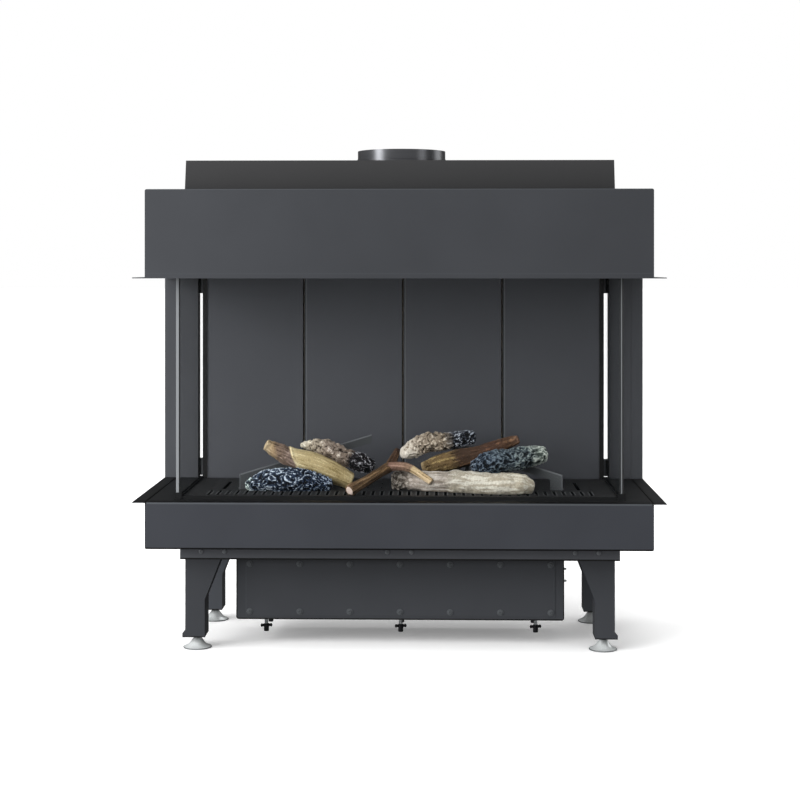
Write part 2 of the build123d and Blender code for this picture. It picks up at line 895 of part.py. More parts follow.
# Bolts that join rails and legs: round heads in front, nuts behind.
with BuildPart() as rail_bolts:
    for face_depth, places in ((rail_setback, front_bolts), (rail_setback + leg_pitch, leg_bolts)):
        shank = 2 * sheet + clearance + bolt_nut_height
        bolt_row(face_depth, places, bolt_radius, shank, Mode.ADD)
        bolt_row(face_depth, places, bolt_head_radius, -bolt_head_height, Mode.ADD)
        for across in places:
            leg_behind = 0 if abs(across) == centre_bolt_across else sheet + clearance
            nut_face = face_depth + sheet + leg_behind
            with BuildSketch(front_plane(nut_face)):
                with Locations((across, bolt_height)):
                    RegularPolygon(bolt_head_radius, 6)
            extrude(amount=-bolt_nut_height)
keep(rail_bolts, "rail_bolts")

# Levelling feet: a flared pad that turns on its threaded spindle.
foot_places = {
    "front_left_foot": (-foot_across, leg_face + foot_depth_in_leg),
    "front_right_foot": (foot_across, leg_face + foot_depth_in_leg),
    "rear_left_foot": (-foot_across, leg_face + leg_pitch + foot_depth_in_leg),
    "rear_right_foot": (foot_across, leg_face + leg_pitch + foot_depth_in_leg),
}
foot_shoulder_z = leg_bottom_height - clearance
for name, (across, depth) in foot_places.items():
    with BuildPart() as foot:
        with BuildSketch(Plane(origin=(across, y_at(depth), 0), x_dir=(1, 0, 0), z_dir=(0, -1, 0))):
            with BuildLine():
                Polyline(
                    (0, spindle_top),
                    (0, 0),
                    (foot_rim_radius, 0),
                    (foot_rim_radius, foot_rim_height),
                )
                ThreePointArc(
                    (foot_rim_radius, foot_rim_height),
                    (foot_waist_radius, foot_waist_height),
                    (foot_neck_radius, foot_neck_height),
                )
                Polyline(
                    (foot_neck_radius, foot_neck_height),
                    (foot_neck_radius, foot_shoulder_z),
                    (spindle_radius, foot_shoulder_z),
                    (spindle_radius, spindle_top),
                    (0, spindle_top),
                )
            make_face()
        revolve(axis=Axis((across, y_at(depth), 0), (0, 0, 1)))
    keep(foot, name)

# Nuts on the legs' foot plates that the spindles screw through.
with BuildPart() as foot_nuts:
    with BuildSketch(Plane.XY.offset(leg_bottom_height + leg_plate)):
        with Locations([(across, y_at(depth)) for across, depth in foot_places.values()]):
            RegularPolygon(nut_across_flats / 2, 6, major_radius=False)
            Circle(spindle_radius + running_fit, mode=Mode.SUBTRACT)
    extrude(amount=nut_height)
keep(foot_nuts, "foot_nuts")

# Control box, open at the top under the tray, with a service window in its front.
screw_places = [
    (screw_pitch * (number - (screw_count - 1) / 2), height)
    for number in range(screw_count)
    for height in (screw_bottom_height, screw_bottom_height + screw_rows_height)
]
with BuildPart() as control_box:
    with BuildSketch(front_plane(box_setback)) as box_outline:
        with Locations((0, (box_bottom_height + tray_bottom_z) / 2)):
            Rectangle(box_width, tray_bottom_z - box_bottom_height)
        fillet(box_outline.vertices().group_by(Axis.Y)[0], radius=box_corner_radius)
    extrude(amount=-box_depth)
    offset(amount=-sheet, openings=control_box.faces().sort_by(Axis.Z)[-1])
    with BuildSketch(front_plane(box_setback)):
        with Locations((0, cover_top_z - cover_height / 2)):
            Rectangle(cover_width - 2 * window_margin, cover_height - 2 * window_margin)
        with Locations(screw_places):
            Circle(screw_radius + clearance)
    extrude(amount=-sheet, mode=Mode.SUBTRACT)
    with BuildSketch(front_plane(box_back)):
        with Locations((valve_across, supply_z)):
            Circle(inlet_radius + clearance)
    extrude(amount=sheet, mode=Mode.SUBTRACT)
keep(control_box, "control_box")

with BuildPart() as control_box_cover:
    with BuildSketch(front_plane(box_setback)):
        with Locations((0, cover_top_z - cover_height / 2)):
            Rectangle(cover_width, cover_height)
        with Locations(screw_places):
            Circle(screw_radius + clearance, mode=Mode.SUBTRACT)
    extrude(amount=cover_sheet)
keep(control_box_cover, "control_box_cover")

# Cover screws: a shank behind, and in front a wide pressed washer under a small socket head.
washer_face = box_setback - cover_sheet
crown_face = washer_face - screw_washer_height
with BuildPart() as cover_screws:
    for start, reach, radius in (
        (box_setback + screw_length, screw_length + cover_sheet, screw_radius),
        (washer_face, screw_washer_height, screw_washer_radius),
        (crown_face, screw_crown_height, screw_crown_radius),
    ):
        with BuildSketch(front_plane(start)):
            with Locations(screw_places):
                Circle(radius)
        extrude(amount=reach)
    with BuildSketch(front_plane(crown_face - screw_crown_height)):
        with Locations(screw_places):
            RegularPolygon(screw_socket, 6)
    extrude(amount=-screw_crown_height / 2, mode=Mode.SUBTRACT)
keep(cover_screws, "cover_screws")

# Two short studs on the right side of the control box.
with BuildPart() as side_studs:
    with BuildSketch(Plane.YZ.offset(box_x)):
        with Locations([(y_at(box_setback + stud_setback_in_box), height) for height in stud_heights]):
            Circle(stud_radius)
    extrude(amount=stud_length)
keep(side_studs, "side_studs")

# Studs and wing nuts under the control box, in two rows.
wing_places = [
    (across, y_at(wing_setback + row * wing_pitch))
    for row in range(2)
    for across in (-wing_across, 0, wing_across)
]
wing_stud_bottom = wing_nut_bottom + wing_floor + clearance
with BuildPart() as wing_studs:
    with BuildSketch(Plane.XY.offset(wing_stud_bottom)):
        with Locations(wing_places):
            Circle(wing_stud_radius)
    extrude(amount=box_bottom_height - wing_stud_bottom)
keep(wing_studs, "wing_studs")

wing_top_z = wing_nut_bottom + wing_hub_height
with BuildPart() as wing_nuts:
    with BuildSketch(Plane.XY.offset(wing_nut_bottom)):
        with Locations(wing_places):
            Circle(wing_hub_radius)
    extrude(amount=wing_hub_height)
    for across, y_place in wing_places:
        wing_plane = Plane(origin=(across, y_place, 0), x_dir=(1, 0, 0), z_dir=(0, -1, 0))
        with BuildSketch(wing_plane):
            with BuildLine():
                Polyline(
                    (0, wing_top_z - wing_drop),
                    (-wing_span / 4, wing_top_z - wing_drop / 2),
                    (-wing_span / 2 + wing_drop / 4, wing_top_z - wing_drop),
                    (-wing_span / 2, wing_top_z - wing_drop * 3 / 4),
                    (-wing_span / 2, wing_top_z - wing_drop / 4),
                    (-wing_span / 2 + wing_drop / 4, wing_top_z),
                    (wing_span / 2 - wing_drop / 4, wing_top_z),
                    (wing_span / 2, wing_top_z - wing_drop / 4),
                    (wing_span / 2, wing_top_z - wing_drop * 3 / 4),
                    (wing_span / 2 - wing_drop / 4, wing_top_z - wing_drop),
                    (wing_span / 4, wing_top_z - wing_drop / 2),
                    close=True,
                )
            make_face()
        extrude(amount=wing_thickness / 2, both=True)
    with BuildSketch(Plane.XY.offset(wing_nut_bottom + wing_floor)):
        with Locations(wing_places):
            Circle(wing_stud_radius + running_fit)
    extrude(amount=wing_hub_height, mode=Mode.SUBTRACT)
keep(wing_nuts, "wing_nuts")

# Gas valve on the floor of the control box, with a spindle for its knob.
knob_z = box_floor_z + clearance + knob_height
with BuildPart() as gas_valve:
    block(
        (valve_across - valve_width / 2, valve_front, box_floor_z + clearance),
        (valve_across + valve_width / 2, valve_back, valve_top_z),
    )
    chamfer(gas_valve.edges().filter_by(Axis.Z), length=valve_edge)
    with BuildSketch(front_plane(valve_front)):
        with Locations((valve_across, knob_z)):
            Circle(knob_spindle_radius)
    extrude(amount=knob_spindle_length)
keep(gas_valve, "gas_valve")

with BuildPart() as valve_knob:
    with BuildSketch(front_plane(valve_front - clearance)):
        with Locations((valve_across, knob_z)):
            Circle(knob_radius)
            with PolarLocations(knob_radius, knob_grips):
                Circle(knob_grip_radius, mode=Mode.SUBTRACT)
    extrude(amount=knob_length)
    with BuildSketch(front_plane(valve_front - clearance)):
        with Locations((valve_across, knob_z)):
            Circle(knob_spindle_radius + running_fit)
    extrude(amount=knob_spindle_length, mode=Mode.SUBTRACT)
keep(valve_knob, "valve_knob")

receiver_front = box_setback + receiver_setback_in_box
with BuildPart() as receiver:
    block(
        (receiver_across - receiver_width / 2, receiver_front, box_floor_z + clearance),
        (
            receiver_across + receiver_width / 2,
            receiver_front + receiver_depth,
            box_floor_z + clearance + receiver_height,
        ),
    )
    fillet(receiver.edges().filter_by(Axis.Z), radius=receiver_edge)
keep(receiver, "receiver")

# Pipes from the inlet to the valve and from the valve up to the burner.
pipe_start_z = valve_top_z + clearance
pipe_end_z = pan_floor_z - clearance
burner_pipe_y = y_at(burner_setback + burner_depth / 2)
valve_pipe_y = y_at(burner_pipe_setback)
pipe_bend = 3 * gas_pipe_radius
pipe_jog_z = (pipe_start_z + pipe_end_z) / 2
with BuildPart() as gas_pipes:
    with BuildLine(Plane.YZ.offset(valve_across)) as rise_path:
        FilletPolyline(
            (valve_pipe_y, pipe_start_z),
            (valve_pipe_y, pipe_jog_z - pipe_bend),
            (burner_pipe_y, pipe_jog_z + pipe_bend),
            (burner_pipe_y, pipe_end_z),
            radius=pipe_bend,
        )
    with BuildSketch(Plane(origin=rise_path.line @ 0, z_dir=rise_path.line % 0)):
        Circle(gas_pipe_radius)
    sweep()
    with BuildSketch(front_plane(valve_back + clearance)):
        with Locations((valve_across, supply_z)):
            Circle(gas_pipe_radius)
    extrude(amount=-(box_back - sheet - inlet_hex_length - valve_back - 2 * clearance))
keep(gas_pipes, "gas_pipes")

# Gas inlet through the back of the control box, with a plain male stub.
with BuildPart() as gas_inlet:
    with BuildSketch(front_plane(box_back - sheet - inlet_hex_length)):
        with Locations((valve_across, supply_z)):
            Circle(inlet_radius)
    extrude(amount=-(2 * inlet_hex_length + sheet + inlet_length))
    for hex_face in (box_back - sheet - inlet_hex_length, box_back):
        with BuildSketch(front_plane(hex_face)):
            with Locations((valve_across, supply_z)):
                RegularPolygon(inlet_hex_across / 2, 6, major_radius=False)
        extrude(amount=-inlet_hex_length)
    with BuildSketch(front_plane(box_back + inlet_hex_length + inlet_length)):
        with Locations((valve_across, supply_z)):
            Circle(inlet_bore_radius)
    extrude(amount=inlet_hex_length + inlet_length, mode=Mode.SUBTRACT)
keep(gas_inlet, "gas_inlet")

# Log brackets: upright plates that rise from a short leg, with a foot turned back.
bracket_run = hypot(
    bracket_outer_across - bracket_inner_across, bracket_inner_setback - bracket_outer_setback
)
bracket_cos = (bracket_outer_across - bracket_inner_across) / bracket_run
bracket_sin = (bracket_inner_setback - bracket_outer_setback) / bracket_run
arm_rise = bracket_end_height - bracket_shoulder_height
with BuildPart() as left_log_bracket:
    bracket_plane = Plane(
        origin=(-bracket_outer_across, y_at(bracket_outer_setback), grate_top_z + clearance),
        x_dir=(bracket_cos, bracket_sin, 0),
        z_dir=(bracket_sin, -bracket_cos, 0),
    )
    arm_under = (
        bracket_shoulder_height
        + arm_rise * bracket_leg_width / bracket_run
        - bracket_arm_height
    )
    with BuildSketch(bracket_plane):
        with BuildLine():
            Polyline(
                (0, 0),
                (bracket_leg_width, 0),
                (bracket_leg_width, arm_under),
                (bracket_run, bracket_end_height - bracket_arm_height),
                (bracket_run, bracket_end_height),
                (0, bracket_shoulder_height),
                close=True,
            )
        make_face()
    extrude(amount=-bracket_sheet)
    with BuildSketch(bracket_plane):
        with Locations((bracket_leg_width / 2, bracket_sheet / 2)):
            Rectangle(bracket_leg_width, bracket_sheet)
    extrude(amount=-bracket_foot_depth)
keep(left_log_bracket, "left_log_bracket")
with BuildPart() as right_log_bracket:
    mirror(left_log_bracket.part, about=Plane.YZ)
keep(right_log_bracket, "right_log_bracket")


def limb(stations, facet_shares):
    """Many-sided body lofted along a bent spine, one section for each row of the table.

    A row holds shares of the bed's width, depth and height for the middle of the section,
    and the section's share of the full log girth.
    """
    spine = [
        Vector(
            across * bed_width,
            y_at(bed_front + back * bed_depth),
            grate_top_z + up * bed_height,
        )
        for across, back, up, girth in stations
    ]
    sections = []
    for number, point in enumerate(spine):
        run = spine[min(number + 1, len(spine) - 1)] - spine[max(number - 1, 0)]
        radius = stations[number][3] * log_girth / 2
        facets = len(facet_shares)
        with BuildSketch(Plane(origin=point, x_dir=(-run.Y, run.X, 0), z_dir=run)) as section:
            with BuildLine():
                Polyline(
                    [
                        (
                            radius * share * cos(2 * pi * corner / facets),
                            radius * share * sin(2 * pi * corner / facets),
                        )
                        for corner, share in enumerate(facet_shares)
                    ],
                    close=True,
                )
            make_face()
        sections.append(section.sketch)
    loft(sections)


def log(name, facet_shares, *limbs):
    """One ceramic log: its limbs joined, its underside flat where it would sink into the grate."""
    with BuildPart() as piece:
        for stations in limbs:
            limb(stations, facet_shares)
        block(
            (-bed_width, bed_front - bed_depth, grate_top_z - log_girth),
            (bed_width, bed_front + 2 * bed_depth, grate_top_z + clearance),
            mode=Mode.SUBTRACT,
        )
    keep(piece, name)


ember_log_stations = (
    (-0.477, 0.400, 0.055, 0.29),
    (-0.450, 0.372, 0.124, 0.64),
    (-0.400, 0.367, 0.172, 0.93),
    (-0.341, 0.367, 0.176, 1.02),
    (-0.292, 0.378, 0.168, 0.96),
    (-0.249, 0.394, 0.123, 0.77),
    (-0.212, 0.417, 0.073, 0.43),
)
log("ember_log", (0.96, 1.04, 0.98, 0.93, 1.02, 0.97, 1.00, 0.95), ember_log_stations)

tan_log_stations = (
    (-0.420, 0.446, 0.779, 0.48),
    (-0.382, 0.473, 0.672, 0.66),
    (-0.345, 0.507, 0.564, 0.77),
    (-0.280, 0.557, 0.444, 0.93),
    (-0.216, 0.601, 0.282, 0.90),
    (-0.154, 0.640, 0.111, 0.65),
)
log("tan_log", (1.00, 1.02, 0.98, 1.01, 1.00, 0.98, 1.02, 0.99), tan_log_stations)

bark_log_stations = (
    (-0.315, 0.741, 0.728, 0.27),
    (-0.274, 0.719, 0.706, 0.53),
    (-0.229, 0.696, 0.666, 0.76),
    (-0.176, 0.674, 0.540, 0.78),
    (-0.128, 0.658, 0.439, 0.72),
    (-0.084, 0.641, 0.352, 0.52),
)
log("bark_log", (1.03, 0.95, 1.02, 0.96, 1.04, 0.97, 1.01, 0.95), bark_log_stations)

branch_main_stations = (
    (-0.152, -0.056, 0.074, 0.43),
    (-0.104, 0.139, 0.211, 0.43),
    (-0.056, 0.306, 0.353, 0.42),
    (-0.025, 0.389, 0.435, 0.43),
)
branch_upper_stations = (
    (-0.032, 0.372, 0.410, 0.39),
    (-0.019, 0.444, 0.570, 0.38),
    (-0.012, 0.500, 0.708, 0.37),
)
branch_right_stations = (
    (-0.038, 0.356, 0.420, 0.39),
    (0.011, 0.344, 0.424, 0.37),
    (0.042, 0.306, 0.372, 0.32),
    (0.096, 0.243, 0.178, 0.27),
)
log(
    "branch_log",
    (1.00, 0.97, 1.02, 0.98, 1.01, 0.97, 1.02, 0.99),
    branch_main_stations,
    branch_upper_stations,
    branch_right_stations,
)

white_log_stations = (
    (-0.003, 0.857, 0.525, 0.35),
    (0.037, 0.852, 0.652, 0.75),
    (0.071, 0.846, 0.741, 0.84),
    (0.109, 0.835, 0.780, 0.86),
    (0.160, 0.813, 0.807, 0.73),
    (0.200, 0.796, 0.848, 0.64),
    (0.235, 0.785, 0.868, 0.45),
)
log("white_log", (0.97, 1.03, 0.96, 1.02, 0.98, 1.03, 0.95, 1.01), white_log_stations)

red_log_stations = (
    (0.066, 0.689, 0.317, 0.54),
    (0.116, 0.689, 0.403, 0.78),
    (0.169, 0.683, 0.482, 0.80),
    (0.222, 0.678, 0.556, 0.74),
    (0.272, 0.672, 0.645, 0.66),
    (0.325, 0.667, 0.759, 0.56),
    (0.368, 0.661, 0.863, 0.36),
)
log("red_log", (1.01, 0.98, 1.03, 0.97, 1.00, 1.02, 0.98, 1.02), red_log_stations)

ash_log_stations = (
    (0.217, 0.267, 0.425, 0.34),
    (0.245, 0.283, 0.457, 0.76),
    (0.291, 0.311, 0.513, 0.99),
    (0.346, 0.350, 0.547, 0.92),
    (0.399, 0.394, 0.592, 0.84),
    (0.452, 0.439, 0.632, 0.61),
)
log("ash_log", (1.04, 0.94, 1.03, 0.96, 1.02, 0.95, 1.00, 1.03), ash_log_stations)

floor_log_stations = (
    (-0.029, 0.500, 0.151, 0.63),
    (0.007, 0.494, 0.158, 0.79),
    (0.072, 0.439, 0.147, 0.88),
    (0.137, 0.356, 0.146, 0.96),
    (0.180, 0.300, 0.165, 1.01),
    (0.220, 0.250, 0.155, 0.99),
    (0.274, 0.183, 0.139, 0.92),
    (0.329, 0.133, 0.159, 0.97),
    (0.371, 0.122, 0.148, 0.88),
    (0.408, 0.122, 0.097, 0.49),
)
log("floor_log", (1.02, 0.98, 1.03, 0.96, 1.01, 0.98, 1.02, 0.97), floor_log_stations)
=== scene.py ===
import json
import math

import bmesh
import bpy
from mathutils import Matrix, Vector, noise


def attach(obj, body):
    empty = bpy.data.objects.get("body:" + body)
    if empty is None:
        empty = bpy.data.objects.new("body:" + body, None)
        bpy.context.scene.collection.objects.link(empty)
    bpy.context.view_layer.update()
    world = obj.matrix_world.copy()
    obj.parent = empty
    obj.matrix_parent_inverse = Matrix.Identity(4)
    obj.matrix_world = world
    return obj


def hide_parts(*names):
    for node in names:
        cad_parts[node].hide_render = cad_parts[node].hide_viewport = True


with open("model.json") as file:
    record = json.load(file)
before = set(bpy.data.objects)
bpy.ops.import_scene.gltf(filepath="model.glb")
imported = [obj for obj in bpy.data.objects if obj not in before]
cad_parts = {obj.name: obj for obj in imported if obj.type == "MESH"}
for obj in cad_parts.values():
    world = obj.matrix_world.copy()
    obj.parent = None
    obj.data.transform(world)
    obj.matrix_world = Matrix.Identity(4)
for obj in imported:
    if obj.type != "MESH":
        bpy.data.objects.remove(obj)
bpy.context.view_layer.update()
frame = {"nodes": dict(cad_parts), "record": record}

bl_info = {
    "name": "Three-sided gas fireplace",
    "version": (1, 0, 0),
    "blender": (4, 5, 0),
    "location": "3D View > Sidebar > Fireplace",
    "description": "Dresses the packed fireplace with finishes, ceramic logs, fasteners and a studio stage",
    "category": "Object",
}

FRONT_Y = -0.225
GRATE_Z = 0.334
# The camera fitted to the photo: its place, its turn in degrees, its lens in mm and its upward shift.
CAMERA_PLACE, CAMERA_TURN = (0.09033, -3.71878, 0.83216), 1.426
CAMERA_LENS, CAMERA_SHIFT = 74.21, -0.1659
# Half the width of the studio floor.
FLOOR_REACH = 60


# Small helpers
def linear(hex_colour):
    """Linear RGBA of an sRGB hex colour."""
    parts = [int(hex_colour[i : i + 2], 16) / 255 for i in (1, 3, 5)]
    return tuple(c / 12.92 if c <= 0.04045 else ((c + 0.055) / 1.055) ** 2.4 for c in parts) + (1.0,)


def feed(made, inputs):
    """Sets a node's inputs, given in socket order or by socket.

    Each is a value, a socket that feeds it, or a node whose first output feeds it.
    """
    for key, source in inputs.items() if isinstance(inputs, dict) else enumerate(inputs):
        if isinstance(source, bpy.types.Node):
            source = source.outputs[0]
        if isinstance(source, bpy.types.NodeSocket):
            made.id_data.links.new(source, made.inputs[key])
        else:
            made.inputs[key].default_value = source


def node(tree, kind, inputs=(), stops=(), **settings):
    """Adds one node with its settings and inputs; stops are the (place, hex) rows of a colour ramp."""
    made = tree.nodes.new(kind)
    for key, value in settings.items():
        setattr(made, key, value)
    feed(made, inputs)
    if stops:
        elements = made.color_ramp.elements
        while len(elements) < len(stops):
            elements.new(1.0)
        for element, (place, colour) in zip(elements, stops):
            element.position = place
            element.color = linear(colour)
    return made


def finish(name, colour, roughness, metallic=0.0, **sockets):
    """New material with a Principled shader; returns it, its tree, the shader and Object coordinates."""
    made = bpy.data.materials.new(name)
    made.use_nodes = True
    tree = made.node_tree
    tree.nodes.clear()
    inputs = {"Base Color": linear(colour), "Roughness": roughness, "Metallic": metallic, **sockets}
    shader = node(tree, "ShaderNodeBsdfPrincipled", inputs)
    node(tree, "ShaderNodeOutputMaterial", [shader])
    where = node(tree, "ShaderNodeTexCoord").outputs["Object"]
    made.diffuse_color = linear(colour)
    return made, tree, shader, where


def object_from(name, data):
    """Puts a mesh, light or camera into the scene as an object at the origin."""
    made = bpy.data.objects.new(name, data)
    bpy.context.scene.collection.objects.link(made)
    return made


def lathe(name, profile, steps=32, hexed=()):
    """Mesh turned round +Z from (radius, height) points on and off the axis; rings in hexed are hexagons."""
    build = bmesh.new()
    rings = []
    for number, (radius, height) in enumerate(profile):
        ring = []
        for k in range(steps if radius > 0 else 1):
            angle = 2 * math.pi * k / steps
            reach = radius
            if number in hexed:
                reach = radius * math.cos(math.pi / 6) / math.cos(angle % (math.pi / 3) - math.pi / 6)
            ring.append(build.verts.new((reach * math.cos(angle), reach * math.sin(angle), height)))
        rings.append(ring)
    skin_rings(build, rings, steps)
    mesh = mesh_from(build, name)
    shade(mesh)
    return mesh


def mesh_from(build, name):
    """Ends a bmesh as a mesh with its faces outwards."""
    bmesh.ops.recalc_face_normals(build, faces=build.faces)
    mesh = bpy.data.meshes.new(name)
    build.to_mesh(mesh)
    build.free()
    return mesh


def skin_rings(build, rings, steps):
    """Faces between neighbouring rings; a ring of one vertex is a pole."""
    for low, high in zip(rings, rings[1:]):
        for k in range(steps):
            near = (low[k % len(low)], low[(k + 1) % len(low)])
            far = (high[(k + 1) % len(high)], high[k % len(high)])
            corners = list(dict.fromkeys(near + far))
            if len(corners) > 2:
                build.faces.new(corners)


def shade(mesh, degrees=35):
    """Smooth shading with sharp edges kept."""
    mesh.shade_smooth()
    mesh.set_sharp_from_angle(angle=math.radians(degrees))


def new_tree(name, inputs):
    """Empty geometry tree with inputs by name and kind; returns it and the sockets that it is given."""
    tree = bpy.data.node_groups.new(name, "GeometryNodeTree")
    tree.interface.new_socket("Geometry", in_out="INPUT", socket_type="NodeSocketGeometry")
    for label, kind in inputs.items():
        tree.interface.new_socket(label, in_out="INPUT", socket_type="NodeSocket" + kind)
    tree.interface.new_socket("Geometry", in_out="OUTPUT", socket_type="NodeSocketGeometry")
    return tree, node(tree, "NodeGroupInput").outputs


def close_tree(tree, given, geometry):
    """Ends a geometry tree in realised instances with the material that it is given."""
    real = node(tree, "GeometryNodeRealizeInstances", [geometry])
    dressed = node(tree, "GeometryNodeSetMaterial", {"Geometry": real, "Material": given["Material"]})
    node(tree, "NodeGroupOutput", {"Geometry": dressed})
    return tree


def grown(name, mesh, tree, sizes):
    """Plain mesh object of what a geometry tree makes from a mesh with these sizes."""
    source = object_from(name + "_source", mesh)
    modifier = source.modifiers.new(tree.name, "NODES")
    modifier.node_group = tree
    for item in tree.interface.items_tree:
        if item.in_out == "INPUT" and item.name in sizes:
            modifier[item.identifier] = sizes[item.name]
    context = bpy.context
    result = bpy.data.meshes.new_from_object(source.evaluated_get(context.evaluated_depsgraph_get()))
    result.name = name
    source.modifiers.remove(modifier)
    bpy.data.objects.remove(source)
    return object_from(name, result)


def stands_for(piece, body, slot, *nodes):
    """Rides a finished piece on its body in place of CAD nodes; its slot argument is not used."""
    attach(piece, body)
    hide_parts(*nodes)


def slot_of(name):
    """Material slot that the record gives a node."""
    for part in frame["record"]["subparts"]:
        if part["node"] == name:
            return part["material_slot"]
    raise ValueError(name)


# Finishes
# Most of a noise texture lies between these.
SPREAD = (0.3, 0.7)


def banded(tree, where, coat, rows):
    """Paints a coat by rows of (colour, fold, band, band ...), each where all its bands meet.

    A band is (direction, middle, half width). Fold is None for X as it is, 0 for X mirrored at the
    middle plane, or a pitch at which X repeats. Returns the coat and the share of any row's paint.
    """
    place = node(tree, "ShaderNodeSeparateXYZ", [where])
    painted = None
    for colour, fold, *bands in rows:
        across = place.outputs["X"]
        if fold == 0:
            across = node(tree, "ShaderNodeMath", [across], operation="ABSOLUTE")
        elif fold:
            across = node(tree, "ShaderNodeMath", [across, fold / 2, -fold / 2], operation="WRAP")
        spot = node(tree, "ShaderNodeCombineXYZ", [across, place.outputs["Y"], place.outputs["Z"]])
        share = None
        for direction, middle, half in bands:
            dot = node(tree, "ShaderNodeVectorMath", [spot, direction], operation="DOT_PRODUCT")
            reach = dot.outputs["Value"]
            inside = node(tree, "ShaderNodeMath", [reach, middle, half], operation="COMPARE")
            share = node(tree, "ShaderNodeMath", [inside, share], operation="MULTIPLY") if share else inside
        inputs = {0: share, 6: coat, 7: linear(colour)}
        coat = node(tree, "ShaderNodeMix", inputs, data_type="RGBA").outputs[2]
        painted = node(tree, "ShaderNodeMath", [share, painted], operation="MAXIMUM") if painted else share
    return coat, painted


def powder_coat(name, colour, roughness, mottle=0.08, gloss=0.3, bands=()):
    """Powder-coated sheet steel, baked: a fine pebbled skin that blurs reflections, a little uneven.

    bands are rows for banded: seams and other bands, and painted highlights and painted shade at folds and
    edges.
    """
    made, tree, shader, where = finish(name, colour, roughness, **{"Specular IOR Level": gloss})
    # The baked skin's pebbles are about 1 mm; they are drawn at 2.5 mm so that they show.
    pebble = node(tree, "ShaderNodeTexNoise", {"Vector": where, "Scale": 400.0, "Detail": 2.0})
    inputs = {"Vector": where, "Scale": 3.2, "Detail": 3.0, "Roughness": 0.6}
    cloud = node(tree, "ShaderNodeTexNoise", inputs)
    tone = node(tree, "ShaderNodeMapRange", [cloud, *SPREAD, 1 - mottle, 1 + mottle])
    coat = node(tree, "ShaderNodeHueSaturation", {"Value": tone, "Color": linear(colour)})
    uneven = node(tree, "ShaderNodeMapRange", [cloud, *SPREAD, roughness - 0.05, roughness + 0.06])
    skin = node(tree, "ShaderNodeBump", {"Strength": 0.10, "Distance": 0.0004, "Height": pebble})
    coat = banded(tree, where, coat, bands)[0]
    feed(shader, {"Base Color": coat, "Roughness": uneven, "Normal": skin})
    return made


def metal_film(name, colour, roughness, grain, metallic=1.0, bands=()):
    """Plated, cast or drawn metal: a thin crystalline film, a little cloudy, over a bright ground."""
    made, tree, shader, where = finish(name, colour, roughness, metallic)
    film = node(tree, "ShaderNodeTexNoise", {"Vector": where, "Scale": grain, "Detail": 3.0})
    cloudy = node(tree, "ShaderNodeMapRange", [film, *SPREAD, roughness - 0.06, roughness + 0.1])
    tinted = node(tree, "ShaderNodeMapRange", [film, *SPREAD, 0.86, 1.08])
    tone = node(tree, "ShaderNodeHueSaturation", {"Value": tinted, "Color": linear(colour)})
    crystals = node(tree, "ShaderNodeBump", {"Strength": 0.08, "Distance": 0.0002, "Height": film})
    tone = banded(tree, where, tone, bands)[0]
    feed(shader, {"Base Color": tone, "Roughness": cloudy, "Normal": crystals})
    return made


def flue_enamel():
    """Stove-enamelled steel pipe, rolled: a metallic grey sheen drawn round the pipe in faint rings."""
    grey = "#4c4d50"
    made, tree, shader, where = finish("Stove-enamelled flue pipe", grey, 0.29, 0.7)
    stretched = node(tree, "ShaderNodeMapping", {"Vector": where, "Scale": (5.0, 5.0, 600.0)})
    rings = node(tree, "ShaderNodeTexNoise", {"Vector": stretched, "Scale": 1.0})
    tone = node(tree, "ShaderNodeMapRange", [rings, *SPREAD, 0.9, 1.1])
    coat = node(tree, "ShaderNodeHueSaturation", {"Value": tone, "Color": linear(grey)})
    drawn = node(tree, "ShaderNodeBump", {"Strength": 0.12, "Distance": 0.0003, "Height": rings})
    feed(shader, {"Base Color": coat, "Normal": drawn})
    return made


def fire_glass(name, bands):
    """Clear ceramic fire glass, nearly invisible, with a faint film; bands are its ground edges, made rougher
    and solid and painted in the colours given.
    """
    smooth = 0.03
    made, tree, shader, where = finish(name, "#23282a", smooth, IOR=1.53)
    rim = node(tree, "ShaderNodeLayerWeight", {"Blend": 0.2})
    smear = node(tree, "ShaderNodeTexNoise", {"Vector": where, "Scale": 5.0, "Detail": 4.0})
    veil = node(tree, "ShaderNodeMapRange", [smear, 0.35, 0.75, 0.0, 0.015])
    film = node(tree, "ShaderNodeMapRange", [rim, 0.0, 1.0, 0.02, 0.16])
    alpha = node(tree, "ShaderNodeMath", [film, veil], operation="ADD")
    tint = node(tree, "ShaderNodeValToRGB", [smear], [(0.3, "#202527"), (0.8, "#2b3032")])
    colour, edge = banded(tree, where, tint, bands)
    solid = node(tree, "ShaderNodeMath", [alpha, edge], operation="MAXIMUM")
    ground = node(tree, "ShaderNodeMapRange", [edge, 0.0, 1.0, smooth, 0.5])
    feed(shader, {"Base Color": colour, "Roughness": ground, "Alpha": solid})
    return made


def mineral_fibre(name, colour, pale, scale):
    """Pressed or braided mineral fibre: soft, matt and fleecy."""
    made, tree, shader, where = finish(name, colour, 0.95)
    inputs = {"Vector": where, "Scale": scale, "Detail": 6.0, "Roughness": 0.7}
    hair = node(tree, "ShaderNodeTexNoise", inputs)
    tone = node(tree, "ShaderNodeValToRGB", [hair], [(0.3, colour), (0.75, pale)])
    fleece = node(tree, "ShaderNodeBump", {"Strength": 0.5, "Distance": 0.0008, "Height": hair})
    feed(shader, {"Base Color": tone, "Normal": fleece})
    return made


def moulded_nylon(name, colour):
    """Injection-moulded black nylon with a fine spark-eroded grain."""
    made, tree, shader, where = finish(name, colour, 0.5)
    grain = node(tree, "ShaderNodeTexVoronoi", {"Vector": where, "Scale": 900.0})
    tone = node(tree, "ShaderNodeValToRGB", [grain], [(0.0, "#101011"), (0.6, colour)])
    eroded = node(tree, "ShaderNodeBump", {"Strength": 0.2, "Distance": 0.0002, "Height": grain})
    feed(shader, {"Base Color": tone, "Normal": eroded})
    return made


